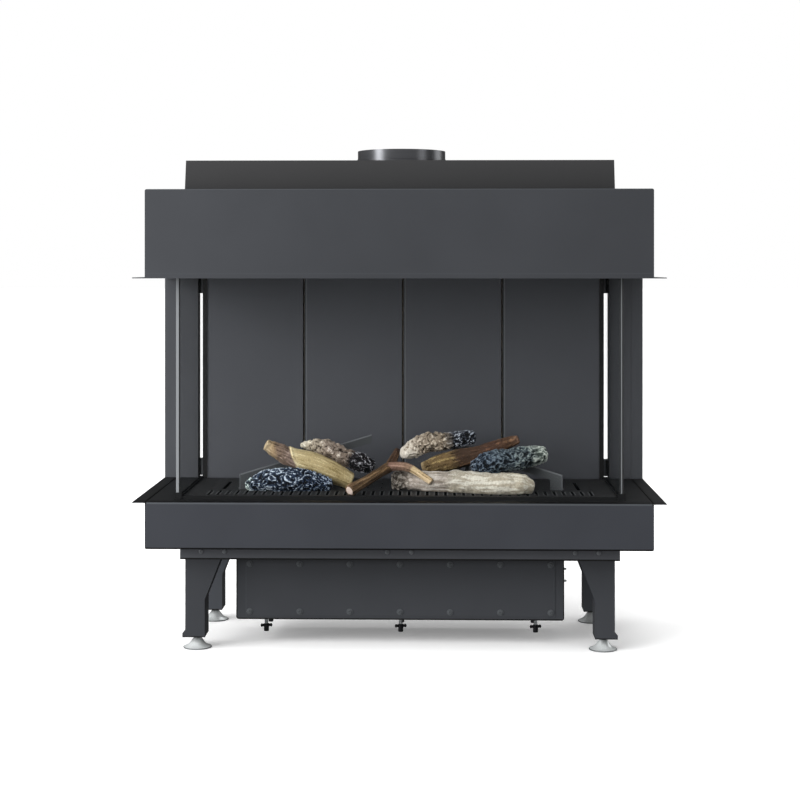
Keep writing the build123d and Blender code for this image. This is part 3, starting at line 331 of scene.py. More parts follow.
def painted_ceramic(name, zones, wander=0.16, light_from=0.62, grain=260.0, sawn=None):
    """Vacuum-formed ceramic fibre log, painted by hand: matt, with dark hollows and brushed pale crests.

    zones are (share along the log, body, crest, hollow) rows; wander is how far a zone's edge strays;
    crests start at light_from of the relief; sawn is the pale and the dark colour of a cut first end.
    """
    made, tree, shader, where = finish(name, zones[0][1], 0.9, **{"Specular IOR Level": 0.2})
    along = node(tree, "ShaderNodeAttribute", attribute_name="along").outputs["Fac"]
    relief = node(tree, "ShaderNodeAttribute", attribute_name="relief").outputs["Fac"]
    drift = node(tree, "ShaderNodeTexNoise", {"Vector": where, "Scale": 45.0, "Detail": 4.0})
    stray = node(tree, "ShaderNodeMapRange", [drift, 0.25, 0.75, -wander, wander])
    place = node(tree, "ShaderNodeMath", [along, stray], operation="ADD")
    body, crest, hollow = (
        node(tree, "ShaderNodeValToRGB", [place], [(row[0], row[k]) for row in zones]) for k in (1, 2, 3)
    )
    # The brush leaves streaks and specks of 2 to 4 mm.
    inputs = {"Vector": where, "Scale": grain, "Detail": 5.0, "Roughness": 0.7}
    fine = node(tree, "ShaderNodeTexNoise", inputs)
    nudge = node(tree, "ShaderNodeMapRange", [fine, *SPREAD, -0.14, 0.14])
    height = node(tree, "ShaderNodeMath", [relief, nudge], operation="ADD")
    light = node(tree, "ShaderNodeMapRange", [height, light_from, light_from + 0.2, 0.0, 1.0])
    brushed = node(tree, "ShaderNodeMix", {0: light, 6: body, 7: crest}, data_type="RGBA").outputs[2]
    dark = node(tree, "ShaderNodeMapRange", [height, 0.12, 0.4, 1.0, 0.0])
    stained = node(tree, "ShaderNodeMix", {0: dark, 6: brushed, 7: hollow}, data_type="RGBA").outputs[2]
    speck = node(tree, "ShaderNodeMapRange", [fine, *SPREAD, 0.78, 1.2])
    colour = node(tree, "ShaderNodeHueSaturation", {"Color": stained, "Value": speck})
    if sawn:
        cut = node(tree, "ShaderNodeMath", [along, 0.002], operation="LESS_THAN")
        rings = node(tree, "ShaderNodeTexNoise", {"Vector": where, "Scale": 420.0})
        face = node(tree, "ShaderNodeValToRGB", [rings], [(0.3, sawn[1]), (0.7, sawn[0])])
        colour = node(tree, "ShaderNodeMix", {0: cut, 6: colour, 7: face}, data_type="RGBA").outputs[2]
    fibres = node(tree, "ShaderNodeBump", {"Strength": 0.7, "Distance": 0.0012, "Height": fine})
    feed(shader, {"Base Color": colour, "Normal": fibres})
    return made


# Log shapes
# The log bed's width, front, depth and height, and the girth of a full log, in metres. Log tables
# hold shares of these: across, back and up for the spine, and girth.
BED_WIDTH, BED_FRONT, BED_DEPTH, BED_HEIGHT, LOG_GIRTH = 0.722, 0.110, 0.180, 0.130, 0.052
# How far the carving noise is moved from one log to the next, so that no two are alike.
LOG_DRIFT = (0.31, 0.17, 0.23)
# Distance between rings along a log in metres, and the part of a spine row each way over which
# its run is measured.
RING_PITCH, RUN_STEP = 0.0013, 0.05


def curve_through(values, place):
    """Catmull-Rom value at a place along a list."""
    i = min(int(place), len(values) - 2)
    t = place - i
    a, b = values[max(i - 1, 0)], values[i]
    c, d = values[i + 1], values[min(i + 2, len(values) - 1)]
    square, cube = 2 * a - 5 * b + 4 * c - d, 3 * b - a - 3 * c + d
    return 0.5 * (2 * b + (c - a) * t + square * t * t + cube * t * t * t)


def round_share(shares, turn):
    """Smooth share of the radius at a turn from 0 to 1 round a section."""
    count = len(shares)
    i = int(turn * count) % count
    t = turn * count - int(turn * count)
    t = t * t * (3 - 2 * t)
    return shares[i] * (1 - t) + shares[(i + 1) % count] * t


def held(value):
    """Value kept between 0 and 1."""
    return max(0.0, min(1.0, value))


def depths_at(table, share):
    """Depths of the four kinds of relief at a share along a log, from its (share, depths) rows."""
    for (start, low), (end, high) in zip(table, table[1:]):
        if share <= end:
            t = held((share - start) / (end - start))
            return [a + (b - a) * t for a, b in zip(low, high)]
    return table[-1][1]


def relief_at(point, depths):
    """Height in metres and share of relief, 0 hollow to 1 crest, at a point in a log's own space.

    depths are those of charred crests, bark plates, lengthwise grain and soft swells.
    """
    char, bark, grain, swell = depths
    height = noise.fractal(point / 0.034, 1.0, 2.0, 3) * swell
    total = 1e-6
    share = 0.5e-6
    carved = []
    if char > 0:
        bent = point + noise.noise_vector(point / 0.013) * 0.007
        spot = Vector((bent.x / 0.012, bent.y / 0.008, bent.z / 0.008))
        ridges = noise.ridged_multi_fractal(spot, 0.8, 2.2, 3, 1.0, 2.0)
        carved.append((char, held((ridges - 0.75) / 0.9)))
    if bark > 0:
        bent = point + noise.noise_vector(point / 0.010) * 0.007
        near = noise.voronoi(Vector((bent.x / 0.019, bent.y / 0.013, bent.z / 0.013)))[0]
        rough = held(0.5 + 0.5 * noise.fractal(point / 0.006, 0.7, 2.1, 3))
        carved.append((bark, held((near[1] - near[0]) / 0.34) ** 0.7 * (0.5 + 0.6 * rough)))
    if grain > 0:
        spot = Vector((point.x / 0.05, point.y / 0.005, point.z / 0.005))
        carved.append((grain, held(0.5 + 0.6 * noise.fractal(spot, 0.8, 2.0, 3))))
    for depth, value in carved:
        height += depth * (value - 0.5)
        total += depth
        share += depth * value
    return height, share / total


def limb_rings(build, limb, log, layers, offset, span):
    """Adds one carved limb, closed at both ends, to a bmesh."""
    along_layer, relief_layer = layers
    rows, start_round, end_round = limb
    places = [
        Vector((across * BED_WIDTH, FRONT_Y + BED_FRONT + back * BED_DEPTH, GRATE_Z + up * BED_HEIGHT))
        for across, back, up, _ in rows
    ]
    radii = [row[3] * LOG_GIRTH / 2 for row in rows]
    last = len(rows) - 1
    reach = sum((b - a).length for a, b in zip(places, places[1:]))
    count = max(24, round(reach / RING_PITCH))
    steps = [(0.0, 0.0), (0.0, 0.5), (0.0, 0.82)]
    steps += [(k / (count - 1), 1.0) for k in range(count)]
    steps += [(1.0, 0.82), (1.0, 0.5), (1.0, 0.0)]
    sides = log.get("sides", 96)
    rings = []
    for share, swell in steps:
        spot = share * last
        behind, middle, ahead = (
            Vector([curve_through([p[axis] for p in places], near) for axis in range(3)])
            for near in (max(spot - RUN_STEP, 0), spot, min(spot + RUN_STEP, last))
        )
        run = (ahead - behind).normalized()
        level = Vector((-run.y, run.x, 0)).normalized()
        rise = run.cross(level)
        radius = curve_through(radii, spot)
        depths = depths_at(log["relief"], offset + span * share)
        ease = 1.0
        for distance, length in ((share * reach, start_round), ((1 - share) * reach, end_round)):
            if distance < length:
                ease *= 0.4 + 0.6 * math.sqrt(1 - (1 - distance / length) ** 2)
        ring = []
        for k in range(sides if swell else 1):
            turn = k / sides
            angle = 2 * math.pi * turn
            local = Vector((share * reach, radius * math.cos(angle), radius * math.sin(angle)))
            height, crest = relief_at(local + log["seed"], depths)
            size = radius * round_share(log["shares"], turn) * ease
            tilted = share
            if "rim" in log:
                rim_place, jump, lip, tilt = log["rim"]
                tilted += tilt * math.sin(angle) * held(share * 4) * held((1 - share) * 4)
                past = (tilted - rim_place) * reach
                size *= 1 + jump * held(past / 0.002) + lip * math.exp(-((past - 0.003) ** 2) / 0.002**2)
            size = max(size + height * min(1.0, 1.6 * size / radius - 0.4), radius * 0.15) * swell
            place = middle + level * (size * math.cos(angle)) + rise * (size * math.sin(angle))
            place.z = max(place.z, GRATE_Z + 0.0003)
            vert = build.verts.new(place)
            vert[along_layer] = offset + span * tilted
            vert[relief_layer] = crest
            ring.append(vert)
        rings.append(ring)
    skin_rings(build, rings, sides)


def log_mesh(name, log):
    """Mesh of one log from its limbs, with the along and relief attributes that its paint follows."""
    build = bmesh.new()
    layers = (build.verts.layers.float.new("along"), build.verts.layers.float.new("relief"))
    limbs = log["limbs"]
    for number, limb in enumerate(limbs):
        limb_rings(build, limb, log, layers, number / len(limbs), 1 / len(limbs))
    mesh = mesh_from(build, name)
    mesh.shade_smooth()
    return mesh


# Relief rows: (share along the log, (charred crests, bark plates, grain, swells)), depths in metres.
CHARRED = (0.0050, 0.0, 0.0, 0.0024)
BARKED = (0.0018, 0.0042, 0.0, 0.0044)
SANDED = (0.0, 0.0, 0.0006, 0.0008)
WASHED = (0.0, 0.0, 0.0004, 0.0050)

LOGS = {
    "ember_log": {
        "shares": (0.96, 1.04, 0.98, 0.93, 1.02, 0.97, 1.00, 0.95),
        "relief": ((0.0, CHARRED), (1.0, CHARRED)),
        "paint": {
            "zones": (
                (0.0, "#677879", "#dbe8e0", "#1a2128"), (0.14, "#313d4d", "#c6d3de", "#0d121a"),
                (0.6, "#243043", "#b2c0cf", "#090d15"), (1.0, "#243146", "#9cacc1", "#0a0e16"),
            ),
        },
        "limbs": (
            ((
                (-0.477, 0.400, 0.055, 0.29), (-0.450, 0.372, 0.124, 0.64), (-0.400, 0.367, 0.172, 0.93),
                (-0.341, 0.367, 0.176, 1.02), (-0.292, 0.378, 0.168, 0.96), (-0.249, 0.394, 0.123, 0.77),
                (-0.212, 0.417, 0.073, 0.43),
            ), 0.010, 0.012),
        ),
    },
    "tan_log": {
        "shares": (1.00, 1.02, 0.98, 1.01, 1.00, 0.98, 1.02, 0.99),
        "relief": (
            (0.0, (0.0, 0.0008, 0.0016, 0.0024)), (0.38, (0.0, 0.0, 0.0024, 0.0030)), (0.44, SANDED),
            (1.0, SANDED),
        ),
        "rim": (0.425, 0.07, 0.06, 0.085),
        "paint": {
            "zones": (
                (0.0, "#a9997b", "#cbbb9b", "#756749"), (0.13, "#9d8768", "#c0a885", "#665439"),
                (0.19, "#7d6a5a", "#a48f7f", "#453730"), (0.405, "#75645b", "#97857a", "#3b2f29"),
                (0.43, "#cfbf97", "#e4d8b0", "#7d6b48"), (0.48, "#b8a87f", "#d4c79e", "#938357"),
                (1.0, "#b29f71", "#cfbf92", "#85734a"),
            ),
            "wander": 0.012,
            "light_from": 0.6,
            "grain": 320.0,
        },
        "limbs": (
            ((
                (-0.420, 0.446, 0.779, 0.48), (-0.382, 0.473, 0.672, 0.66), (-0.345, 0.507, 0.564, 0.77),
                (-0.280, 0.557, 0.444, 0.93), (-0.216, 0.601, 0.282, 0.90), (-0.154, 0.640, 0.111, 0.65),
            ), 0.006, 0.006),
        ),
    },
    "bark_log": {
        "shares": (1.03, 0.95, 1.02, 0.96, 1.04, 0.97, 1.01, 0.95),
        "relief": (
            (0.0, (0.0, 0.0010, 0.0, 0.0008)), (0.12, BARKED), (0.6, BARKED), (0.7, CHARRED),
            (1.0, CHARRED),
        ),
        "paint": {
            "zones": (
                (0.0, "#ddd7c6", "#eeeadc", "#847861"), (0.12, "#aca390", "#e1dbca", "#3a3026"),
                (0.4, "#897c70", "#d5cabe", "#28201b"), (0.62, "#776a5f", "#c8bfb1", "#221b17"),
                (0.70, "#232023", "#9e9fa4", "#0a090b"), (1.0, "#161419", "#adaeb4", "#050506"),
            ),
            "wander": 0.05,
            "light_from": 0.68,
        },
        "limbs": (
            ((
                (-0.317, 0.741, 0.728, 0.20), (-0.274, 0.719, 0.706, 0.53), (-0.229, 0.696, 0.666, 0.76),
                (-0.176, 0.674, 0.540, 0.78), (-0.128, 0.658, 0.439, 0.72), (-0.084, 0.641, 0.352, 0.52),
            ), 0.008, 0.010),
        ),
    },
    "branch_log": {
        "shares": (1.00, 0.97, 1.02, 0.98, 1.01, 0.97, 1.02, 0.99),
        "relief": ((0.0, (0.0, 0.0, 0.0014, 0.0012)), (1.0, (0.0, 0.0, 0.0012, 0.0010))),
        "sides": 56,
        "paint": {
            "zones": (
                (0.0, "#5d4934", "#8e7556", "#302418"), (0.30, "#443323", "#70573b", "#21170f"),
                (0.36, "#3f2d20", "#664e39", "#1e140c"), (0.66, "#39291f", "#5d4835", "#1c120b"),
                (0.69, "#795e51", "#9c7f71", "#37271f"), (0.866, "#88705c", "#aa9179", "#423127"),
                (0.88, "#c8b28b", "#e2cdb1", "#88704a"), (1.0, "#ceb895", "#e6d2b8", "#927a53"),
            ),
            "wander": 0.006,
            "grain": 300.0,
            "sawn": ("#e0cfc7", "#bfac9b"),
        },
        "limbs": (
            ((
                (-0.152, -0.056, 0.074, 0.50), (-0.104, 0.139, 0.211, 0.43), (-0.056, 0.306, 0.353, 0.42),
                (-0.025, 0.389, 0.435, 0.43),
            ), 0.0015, 0.0),
            ((
                (-0.032, 0.372, 0.410, 0.45), (-0.019, 0.444, 0.570, 0.37), (-0.010, 0.500, 0.708, 0.24),
            ), 0.0, 0.008),
            ((
                (-0.038, 0.356, 0.420, 0.39), (0.011, 0.344, 0.424, 0.37), (0.042, 0.306, 0.372, 0.32),
                (0.096, 0.243, 0.178, 0.27),
            ), 0.0, 0.0015),
        ),
    },
    "white_log": {
        "shares": (0.97, 1.03, 0.96, 1.02, 0.98, 1.03, 0.95, 1.01),
        "relief": ((0.0, WASHED), (0.16, BARKED), (0.62, BARKED), (0.72, CHARRED), (1.0, CHARRED)),
        "paint": {
            "zones": (
                (0.0, "#cfc8bb", "#e2dcd1", "#8d806c"), (0.19, "#c6bdaf", "#ddd6c9", "#635541"),
                (0.27, "#948878", "#ccc1b1", "#211a12"), (0.58, "#817565", "#bfb4a2", "#1d160f"),
                (0.68, "#30343c", "#a6acb4", "#0b0d10"), (1.0, "#1e222a", "#9ca4ae", "#06080b"),
            ),
            "wander": 0.05,
        },
        "limbs": (
            ((
                (-0.003, 0.857, 0.525, 0.35), (0.037, 0.852, 0.652, 0.75), (0.071, 0.846, 0.741, 0.84),
                (0.109, 0.835, 0.780, 0.86), (0.160, 0.813, 0.807, 0.73), (0.200, 0.796, 0.848, 0.64),
                (0.235, 0.785, 0.868, 0.45),
            ), 0.010, 0.010),
        ),
    },
    "red_log": {
        "shares": (1.01, 0.98, 1.03, 0.97, 1.00, 1.02, 0.98, 1.02),
        "relief": (
            (0.0, (0.0, 0.0010, 0.0020, 0.0020)), (0.5, (0.0, 0.0006, 0.0020, 0.0020)),
            (1.0, (0.0, 0.0016, 0.0012, 0.0020)),
        ),
        "paint": {
            "zones": (
                (0.0, "#a6926f", "#cab894", "#53432b"), (0.05, "#625136", "#a08c61", "#2e2416"),
                (0.30, "#685538", "#968355", "#2a2013"), (0.38, "#3e2f23", "#644c38", "#170f0a"),
                (0.7, "#433026", "#6f503e", "#1b100b"), (0.88, "#4e392a", "#755840", "#20150e"),
                (1.0, "#675042", "#8f6f57", "#2d1d15"),
            ),
            "wander": 0.03,
            "grain": 280.0,
        },
        "limbs": (
            ((
                (0.066, 0.689, 0.317, 0.54), (0.116, 0.689, 0.403, 0.78), (0.169, 0.683, 0.482, 0.80),
                (0.222, 0.678, 0.556, 0.74), (0.272, 0.672, 0.645, 0.66), (0.325, 0.667, 0.759, 0.56),
                (0.368, 0.661, 0.863, 0.36),
            ), 0.004, 0.006),
        ),
    },
    "ash_log": {
        "shares": (1.04, 0.94, 1.03, 0.96, 1.02, 0.95, 1.00, 1.03),
        "relief": ((0.0, CHARRED), (1.0, CHARRED)),
        "paint": {
            "zones": (
                (0.0, "#303b48", "#84919e", "#0f151c"), (0.32, "#242e3b", "#5e6c79", "#0a0f15"),
                (0.5, "#3a444d", "#6f7d83", "#10161b"), (0.78, "#485257", "#87938f", "#161c1f"),
                (0.88, "#8a948d", "#c4ccc4", "#3c4440"), (1.0, "#98a199", "#cdd5cc", "#464e4a"),
            ),
            "wander": 0.07,
            "light_from": 0.55,
        },
        "limbs": (
            ((
                (0.217, 0.267, 0.425, 0.34), (0.245, 0.283, 0.457, 0.76), (0.291, 0.311, 0.513, 0.99),
                (0.346, 0.350, 0.547, 0.92), (0.399, 0.394, 0.592, 0.84), (0.452, 0.439, 0.632, 0.61),
            ), 0.010, 0.012),
        ),
    },
    "floor_log": {
        "shares": (1.02, 0.98, 1.03, 0.96, 1.01, 0.98, 1.02, 0.97),
        "relief": ((0.0, BARKED), (0.11, BARKED), (0.19, WASHED), (1.0, WASHED)),
        "paint": {
            "zones": (
                (0.0, "#635c54", "#99938a", "#2f2924"), (0.10, "#6d665d", "#a19b92", "#38312b"),
                (0.17, "#a0968c", "#beb5ab", "#877d72"), (0.27, "#a79f94", "#cbc5bb", "#998f83"),
                (0.35, "#8b8379", "#a9a299", "#6e665c"), (0.41, "#9e988a", "#c0bdb1", "#938c7c"),
                (1.0, "#aea795", "#cfcbbc", "#a39b88"),
            ),
            "wander": 0.03,
            "light_from": 0.5,
            "grain": 220.0,
        },
        "limbs": (
            ((
                (-0.029, 0.500, 0.151, 0.63), (0.007, 0.494, 0.158, 0.79), (0.072, 0.439, 0.147, 0.88),
                (0.137, 0.356, 0.146, 0.96), (0.180, 0.300, 0.165, 1.01), (0.220, 0.250, 0.155, 0.99),
                (0.274, 0.183, 0.139, 0.92), (0.329, 0.133, 0.159, 0.97), (0.371, 0.122, 0.148, 0.88),
                (0.408, 0.122, 0.097, 0.49),
            ), 0.008, 0.012),
        ),
    },
}


# Fasteners
# The most that a seated fastener is turned by, in radians: one full turn.
FULL_TURN = 6.28


def seating_tree():
    """Geometry tree that seats one fastener on every point, each turned by its own random amount."""
    inputs = {"Fastener": "Object", "Turn": "Vector", "Seed": "Int", "Material": "Material"}
    tree, given = new_tree("Fasteners on points", inputs)
    piece = node(tree, "GeometryNodeObjectInfo", {"Object": given["Fastener"]}).outputs["Geometry"]
    inputs = {0: (0, 0, 0), 1: given["Turn"], "Seed": given["Seed"]}
    turned = node(tree, "FunctionNodeRandomValue", inputs, data_type="FLOAT_VECTOR")
    inputs = {"Points": given["Geometry"], "Instance": piece, "Rotation": turned}
    return close_tree(tree, given, node(tree, "GeometryNodeInstanceOnPoints", inputs))


def thread_tree():
    """Geometry tree that winds a rolled thread round a bar's core."""
    inputs = dict.fromkeys(("Radius", "Pitch", "Length"), "Float")
    tree, given = new_tree("Rolled thread", {**inputs, "Start": "Vector", "Material": "Material"})
    turns = node(tree, "ShaderNodeMath", [given["Length"], given["Pitch"]], operation="DIVIDE")
    crest = node(tree, "ShaderNodeMath", [given["Pitch"], 0.42], operation="MULTIPLY")
    inner = node(tree, "ShaderNodeMath", [given["Radius"], crest], operation="SUBTRACT")
    inputs = {"Rotations": turns, "Start Radius": inner, "End Radius": inner, "Height": given["Length"]}
    helix = node(tree, "GeometryNodeCurveSpiral", {"Resolution": 12, **inputs})
    section = node(tree, "GeometryNodeCurvePrimitiveCircle", {"Resolution": 4, "Radius": crest})
    inputs = {"Curve": helix, "Profile Curve": section, "Fill Caps": True}
    ridge = node(tree, "GeometryNodeCurveToMesh", inputs)
    lifted = node(tree, "GeometryNodeTransform", {"Geometry": ridge, "Translation": given["Start"]})
    both = node(tree, "GeometryNodeJoinGeometry", [lifted])
    feed(both, [given["Geometry"]])
    return close_tree(tree, given, both)


def turned_towards(mesh, axis):
    """Turns a mesh that points along +Z so that it points along another axis."""
    mesh.transform(Vector((0, 0, 1)).rotation_difference(Vector(axis)).to_matrix().to_4x4())
    return mesh


def seated(name, mesh, places, turn, seed, material):
    """One object with a copy of a fastener mesh at every place."""
    points = bpy.data.meshes.new(name + "_places")
    points.from_pydata([tuple(place) for place in places], [], [])
    fastener = object_from(name + "_single", mesh)
    sizes = {"Fastener": fastener, "Turn": turn, "Seed": seed, "Material": material}
    made = grown(name, points, seating_tree(), sizes)
    bpy.data.objects.remove(fastener)
    shade(made.data)
    return made


def threaded(name, core, radius, pitch, start, length, material):
    """Object of a turned core with a rolled thread wound round it from start upwards."""
    sizes = {"Radius": radius, "Pitch": pitch, "Length": length, "Start": (0, 0, start), "Material": material}
    made = grown(name, core, thread_tree(), sizes)
    shade(made.data)
    return made


def wing_nut_mesh(name):
    """Forged wing nut: a tapered hub with two rounded ears along X, its base at the origin."""
    hub = [(0.0043, 0.004), (0.0043, 0.017), (0.0050, 0.017), (0.0054, 0.0165), (0.0058, 0.0030)]
    hub += [(0.0056, 0.0004), (0.0052, 0.0), (0.0, 0.0), (0.0, 0.004), (0.0043, 0.004)]
    mesh = lathe(name, hub, 20)
    build = bmesh.new()
    build.from_mesh(mesh)
    for side in (-1, 1):
        outline = [(0.0046, 0.0086), (0.0068, 0.0100), (0.0088, 0.0098)]
        outline += [
            (0.0103 + 0.0032 * math.cos(angle), 0.0128 + 0.0042 * math.sin(angle))
            for angle in (-1.2, -0.7, -0.2, 0.3, 0.8, 1.3, 1.57, 1.9, 2.4)
        ]
        outline += [(0.0076, 0.0158), (0.0046, 0.0163)]
        centre = Vector((0.0085, 0, 0.0133))
        loops = []
        for depth, shrink in ((-0.0015, 0.8), (-0.0011, 0.95), (0.0, 1.0), (0.0011, 0.95), (0.0015, 0.8)):
            loop = []
            for x, z in outline:
                spot = centre + (Vector((x, 0, z)) - centre) * shrink
                loop.append(build.verts.new((spot.x * side, depth, spot.z)))
            loops.append(loop)
        skin_rings(build, loops, len(outline))
        build.faces.new(loops[0])
        build.faces.new(loops[-1])
    bmesh.ops.recalc_face_normals(build, faces=build.faces)
    build.to_mesh(mesh)
    build.free()
    return mesh


# Settings
class FireplaceSteel(bpy.types.PropertyGroup):
    casing: bpy.props.StringProperty(
        name="Casing coat", description="sRGB colour of the casings", default="#333539"
    )
    # The sill colour is painted shade on the tray's top plate, which the light reaches only at a grazing
    # angle.
    sill: bpy.props.StringProperty(
        name="Sill, painted shade", description="sRGB colour of the tray's top plate", default="#151617"
    )
    chamber: bpy.props.StringProperty(
        name="Chamber coat", description="sRGB colour of the chamber", default="#252526"
    )
    liner: bpy.props.StringProperty(
        name="Liner coat", description="sRGB colour of the liner panels", default="#46484d"
    )
    burner: bpy.props.StringProperty(
        name="Burner coat", description="sRGB colour of burner and grate", default="#1a1b1c"
    )
    roughness: bpy.props.FloatProperty(
        name="Coat roughness", description="How blurred the coat's reflections are",
        default=0.52, min=0.1, max=1.0, subtype="FACTOR",
    )
    edge: bpy.props.FloatProperty(
        name="Edge round", description="Rounding of the sheet edges",
        default=0.0007, min=0.0, max=0.002, subtype="DISTANCE", unit="LENGTH",
    )


class FireplaceFasteners(bpy.types.PropertyGroup):
    screw_pitch: bpy.props.FloatProperty(
        name="Cover screw pitch", description="Distance between cover screws",
        default=0.110, subtype="DISTANCE", unit="LENGTH",
    )
    screw_count: bpy.props.IntProperty(
        name="Cover screws in a row", description="Screws along each edge of the cover", default=7
    )
    spindle_pitch: bpy.props.FloatProperty(
        name="Spindle pitch", description="Rise of a foot spindle's thread in one turn",
        default=0.0015, subtype="DISTANCE", unit="LENGTH",
    )
    seed: bpy.props.IntProperty(
        name="Turn seed", description="Seed for how far each fastener is turned", default=4
    )


class FireplaceLogs(bpy.types.PropertyGroup):
    seed: bpy.props.IntProperty(
        name="Carving seed", description="Seed for the ridges' drift", default=11, min=1
    )


class FireplaceStage(bpy.types.PropertyGroup):
    floor: bpy.props.StringProperty(
        name="Floor", description="sRGB colour of the studio floor", default="#fbfbfb"
    )
    glow: bpy.props.FloatProperty(
        name="Floor glow", description="Evens out the floor", default=0.2, min=0.0
    )
    front: bpy.props.FloatProperty(
        name="Front surround", description="Light from the front", default=0.64, min=0.0
    )
    back: bpy.props.FloatProperty(
        name="Back surround", description="Light from behind", default=0.12, min=0.0
    )
    overhead: bpy.props.FloatProperty(
        name="Overhead light", description="Strength of the wide soft light from above", default=2.6, min=0.0
    )
    key: bpy.props.FloatProperty(
        name="Key light", description="Power of the soft light at the front left",
        default=76.0, min=0.0, subtype="POWER", unit="POWER",
    )


# Operators
def dress(names, material):
    """Gives CAD nodes a finish."""
    for name in names:
        obj = frame["nodes"][name]
        if not obj.material_slots:
            obj.data.materials.append(material)
        for slot in obj.material_slots:
            slot.material = material


def soften(names, width):
    """Rounds the sheet edges of CAD nodes so that they catch the light."""
    for name in names:
        obj = frame["nodes"][name]
        weld = obj.modifiers.new("Weld", "WELD")
        weld.merge_threshold = 1e-6
        bevel = obj.modifiers.new("Edge", "BEVEL")
        bevel.width = width
        bevel.segments = 2
        bevel.limit_method = "ANGLE"
        bevel.angle_limit = math.radians(30)
        even = obj.modifiers.new("Even faces", "WEIGHTED_NORMAL")
        even.weight = 100


class FIREPLACE_OT_casings(bpy.types.Operator):
    """Powder coats the casings, the chamber, the liner, the burner and the stand"""

    bl_idname = "fireplace.casings"
    bl_label = "Casings"

    def execute(self, context):
        steel = context.scene.fireplace_steel
        across, back, up = (1, 0, 0), (0, 1, 0), (0, 0, 1)
        rough = steel.roughness
        plate = (up, 0.3331, 0.0009)
        # Pale lines along the hood's top edge and near its lower edge are painted highlights.
        hood = (
            ("#3d4044", None, (up, 0.9976, 0.0010)),
            ("#383b3f", None, (up, 0.8188, 0.0009)),
        )
        # Painted shade: the tray's top plate is near-black, darkest along its front; a seam runs over the
        # side walls. A pale painted highlight runs along the front fold, and a black painted shadow along the
        # bottom edge.
        tray = (
            ("#4a4d51", None, (up, 0.3300, 0.0016), (back, FRONT_Y, 0.002)),
            ("#060607", None, (up, 0.2342, 0.0017), (back, FRONT_Y, 0.002)),
            (steel.sill, None, plate),
            ("#020202", 0, (up, 0.3310, 0.0030), (across, 0.540, 0.0034)),
            ("#050506", None, plate, (back, -0.2120, 0.0140)),
        )
        # The black line at the rail's bottom edge is painted shade.
        rail = (("#060607", None, (up, 0.1990, 0.0017)),)
        # The black lines at the control box's bottom edge and sides are painted shade.
        box = (
            ("#060607", 0, (up, 0.0600, 0.0022)),
            ("#0b0c0d", 0, (across, 0.3590, 0.0020)),
        )
        # The pale line near the cover's side edges is a painted highlight.
        cover = (("#3b3e42", 0, (across, 0.3380, 0.0010)),)
        # The legs' foot plates lie in their own shade.
        sole = (("#0d0e0f", None, (up, 0.0285, 0.0014)),)
        # The rear casing's margins, beside the slots, are painted near-black as the shade within the slots.
        rear = (("#070708", 0, (across, 0.4725, 0.0220)),)
        # The ties are painted near-black as the shade within the slots; a grey band is painted between a
        # tie's two folded edges.
        tie = (("#3a3c3e", 0, (across, 0.4775, 0.0022)),)
        # Between two liner panels: a black band painted as the shade in the gap, then a pale painted
        # highlight on the right panel's return fold.
        joint_shade_and_highlight = (
            ("#030303", 0.2335, (across, 0.0013, 0.0028)),
            ("#5c5f63", 0.2335, (across, 0.0058, 0.0013)),
        )
        # Painted highlights run along the brackets' top edges and ends.
        arm_edge_highlights = (
            ("#6a6d70", 0, ((0.2733, 0, 1), 0.4658, 0.0015)),
            ("#54575a", 0, (across, 0.3600, 0.0013)),
        )
        panels = ["back_panel_%d" % number for number in (1, 2, 3, 4)]
        # The bars between the grate's slots carry a pale painted sheen.
        bars = (("#46484a", 0.020, (across, 0.0, 0.0058), (back, -0.0830, 0.0290)),)
        sill = {"gloss": 0.12, "bands": tray}
        # Rows of pieces, the coat's name, colour and roughness, and more settings of the coat.
        # The first rows' sheets get rounded edges.
        soft = (
            (["hood"], "Charcoal powder coat, hood", steel.casing, rough, {"bands": hood}),
            (["left_column", "right_column"], "Charcoal powder coat", "#3f4145", rough, {}),
            (["base_tray"], "Charcoal powder coat, sill with painted shade and highlight", "#36383d", rough, sill),
            (["top_box", "left_relief_lid", "right_relief_lid"], "Chamber coat", steel.chamber, 0.6, {}),
            (panels, "Liner", steel.liner, 0.5, {"mottle": 0.06, "bands": joint_shade_and_highlight}),
        )
        sharp = (
            # The front rail is coloured lighter than the casing coat, as painted light in the tray's shade.
            (["front_rail"], "Charcoal powder coat, rail", "#53555a", rough, {"bands": rail}),
            (["rear_rail", "side_rails"], "Charcoal powder coat, stand", steel.casing, rough, {}),
            (["front_left_leg", "front_right_leg"], "Front legs", steel.casing, rough, {"bands": sole}),
            # The rear legs are coloured lighter than the front legs, as painted light in their shade.
            (["rear_left_leg", "rear_right_leg"], "Rear legs", "#3f4247", rough, {"bands": sole}),
            (["control_box"], "Charcoal powder coat, box", "#34363a", rough, {"bands": box}),
            (["control_box_cover"], "Charcoal powder coat, cover", "#34363a", rough, {"bands": cover}),
            (["left_log_bracket", "right_log_bracket"], "Stove paint", "#444749", 0.5, {"bands": arm_edge_highlights}),
            (["rear_casing"], "Charcoal powder coat, painted slot shade", steel.casing, rough, {"bands": rear}),
            (["glass_channels", "corner_clips"], "Matt black channel", "#121314", 0.6, {"gloss": 0.15}),
            (["column_ties"], "Tie in painted slot shade, grey band", "#0a0a0b", 0.7, {"gloss": 0.1, "bands": tie}),
            (["firebox_floor", "burner_box", "pilot_burner"], "Burner black", steel.burner, 0.62, {}),
            (["burner_grate"], "Burner black, grate", steel.burner, 0.62, {"bands": bars}),
        )
        for names, title, colour, roughness, more in soft + sharp:
            dress(names, powder_coat(title, colour, roughness, **more))
        for row in soft:
            soften(row[0], steel.edge)
        return {"FINISHED"}


class FIREPLACE_OT_flue(bpy.types.Operator):
    """Finishes the flue collar and its inner pipe"""

    bl_idname = "fireplace.flue"
    bl_label = "Flue"

    def execute(self, context):
        dress(["flue_collar", "flue_spigot"], flue_enamel())
        return {"FINISHED"}


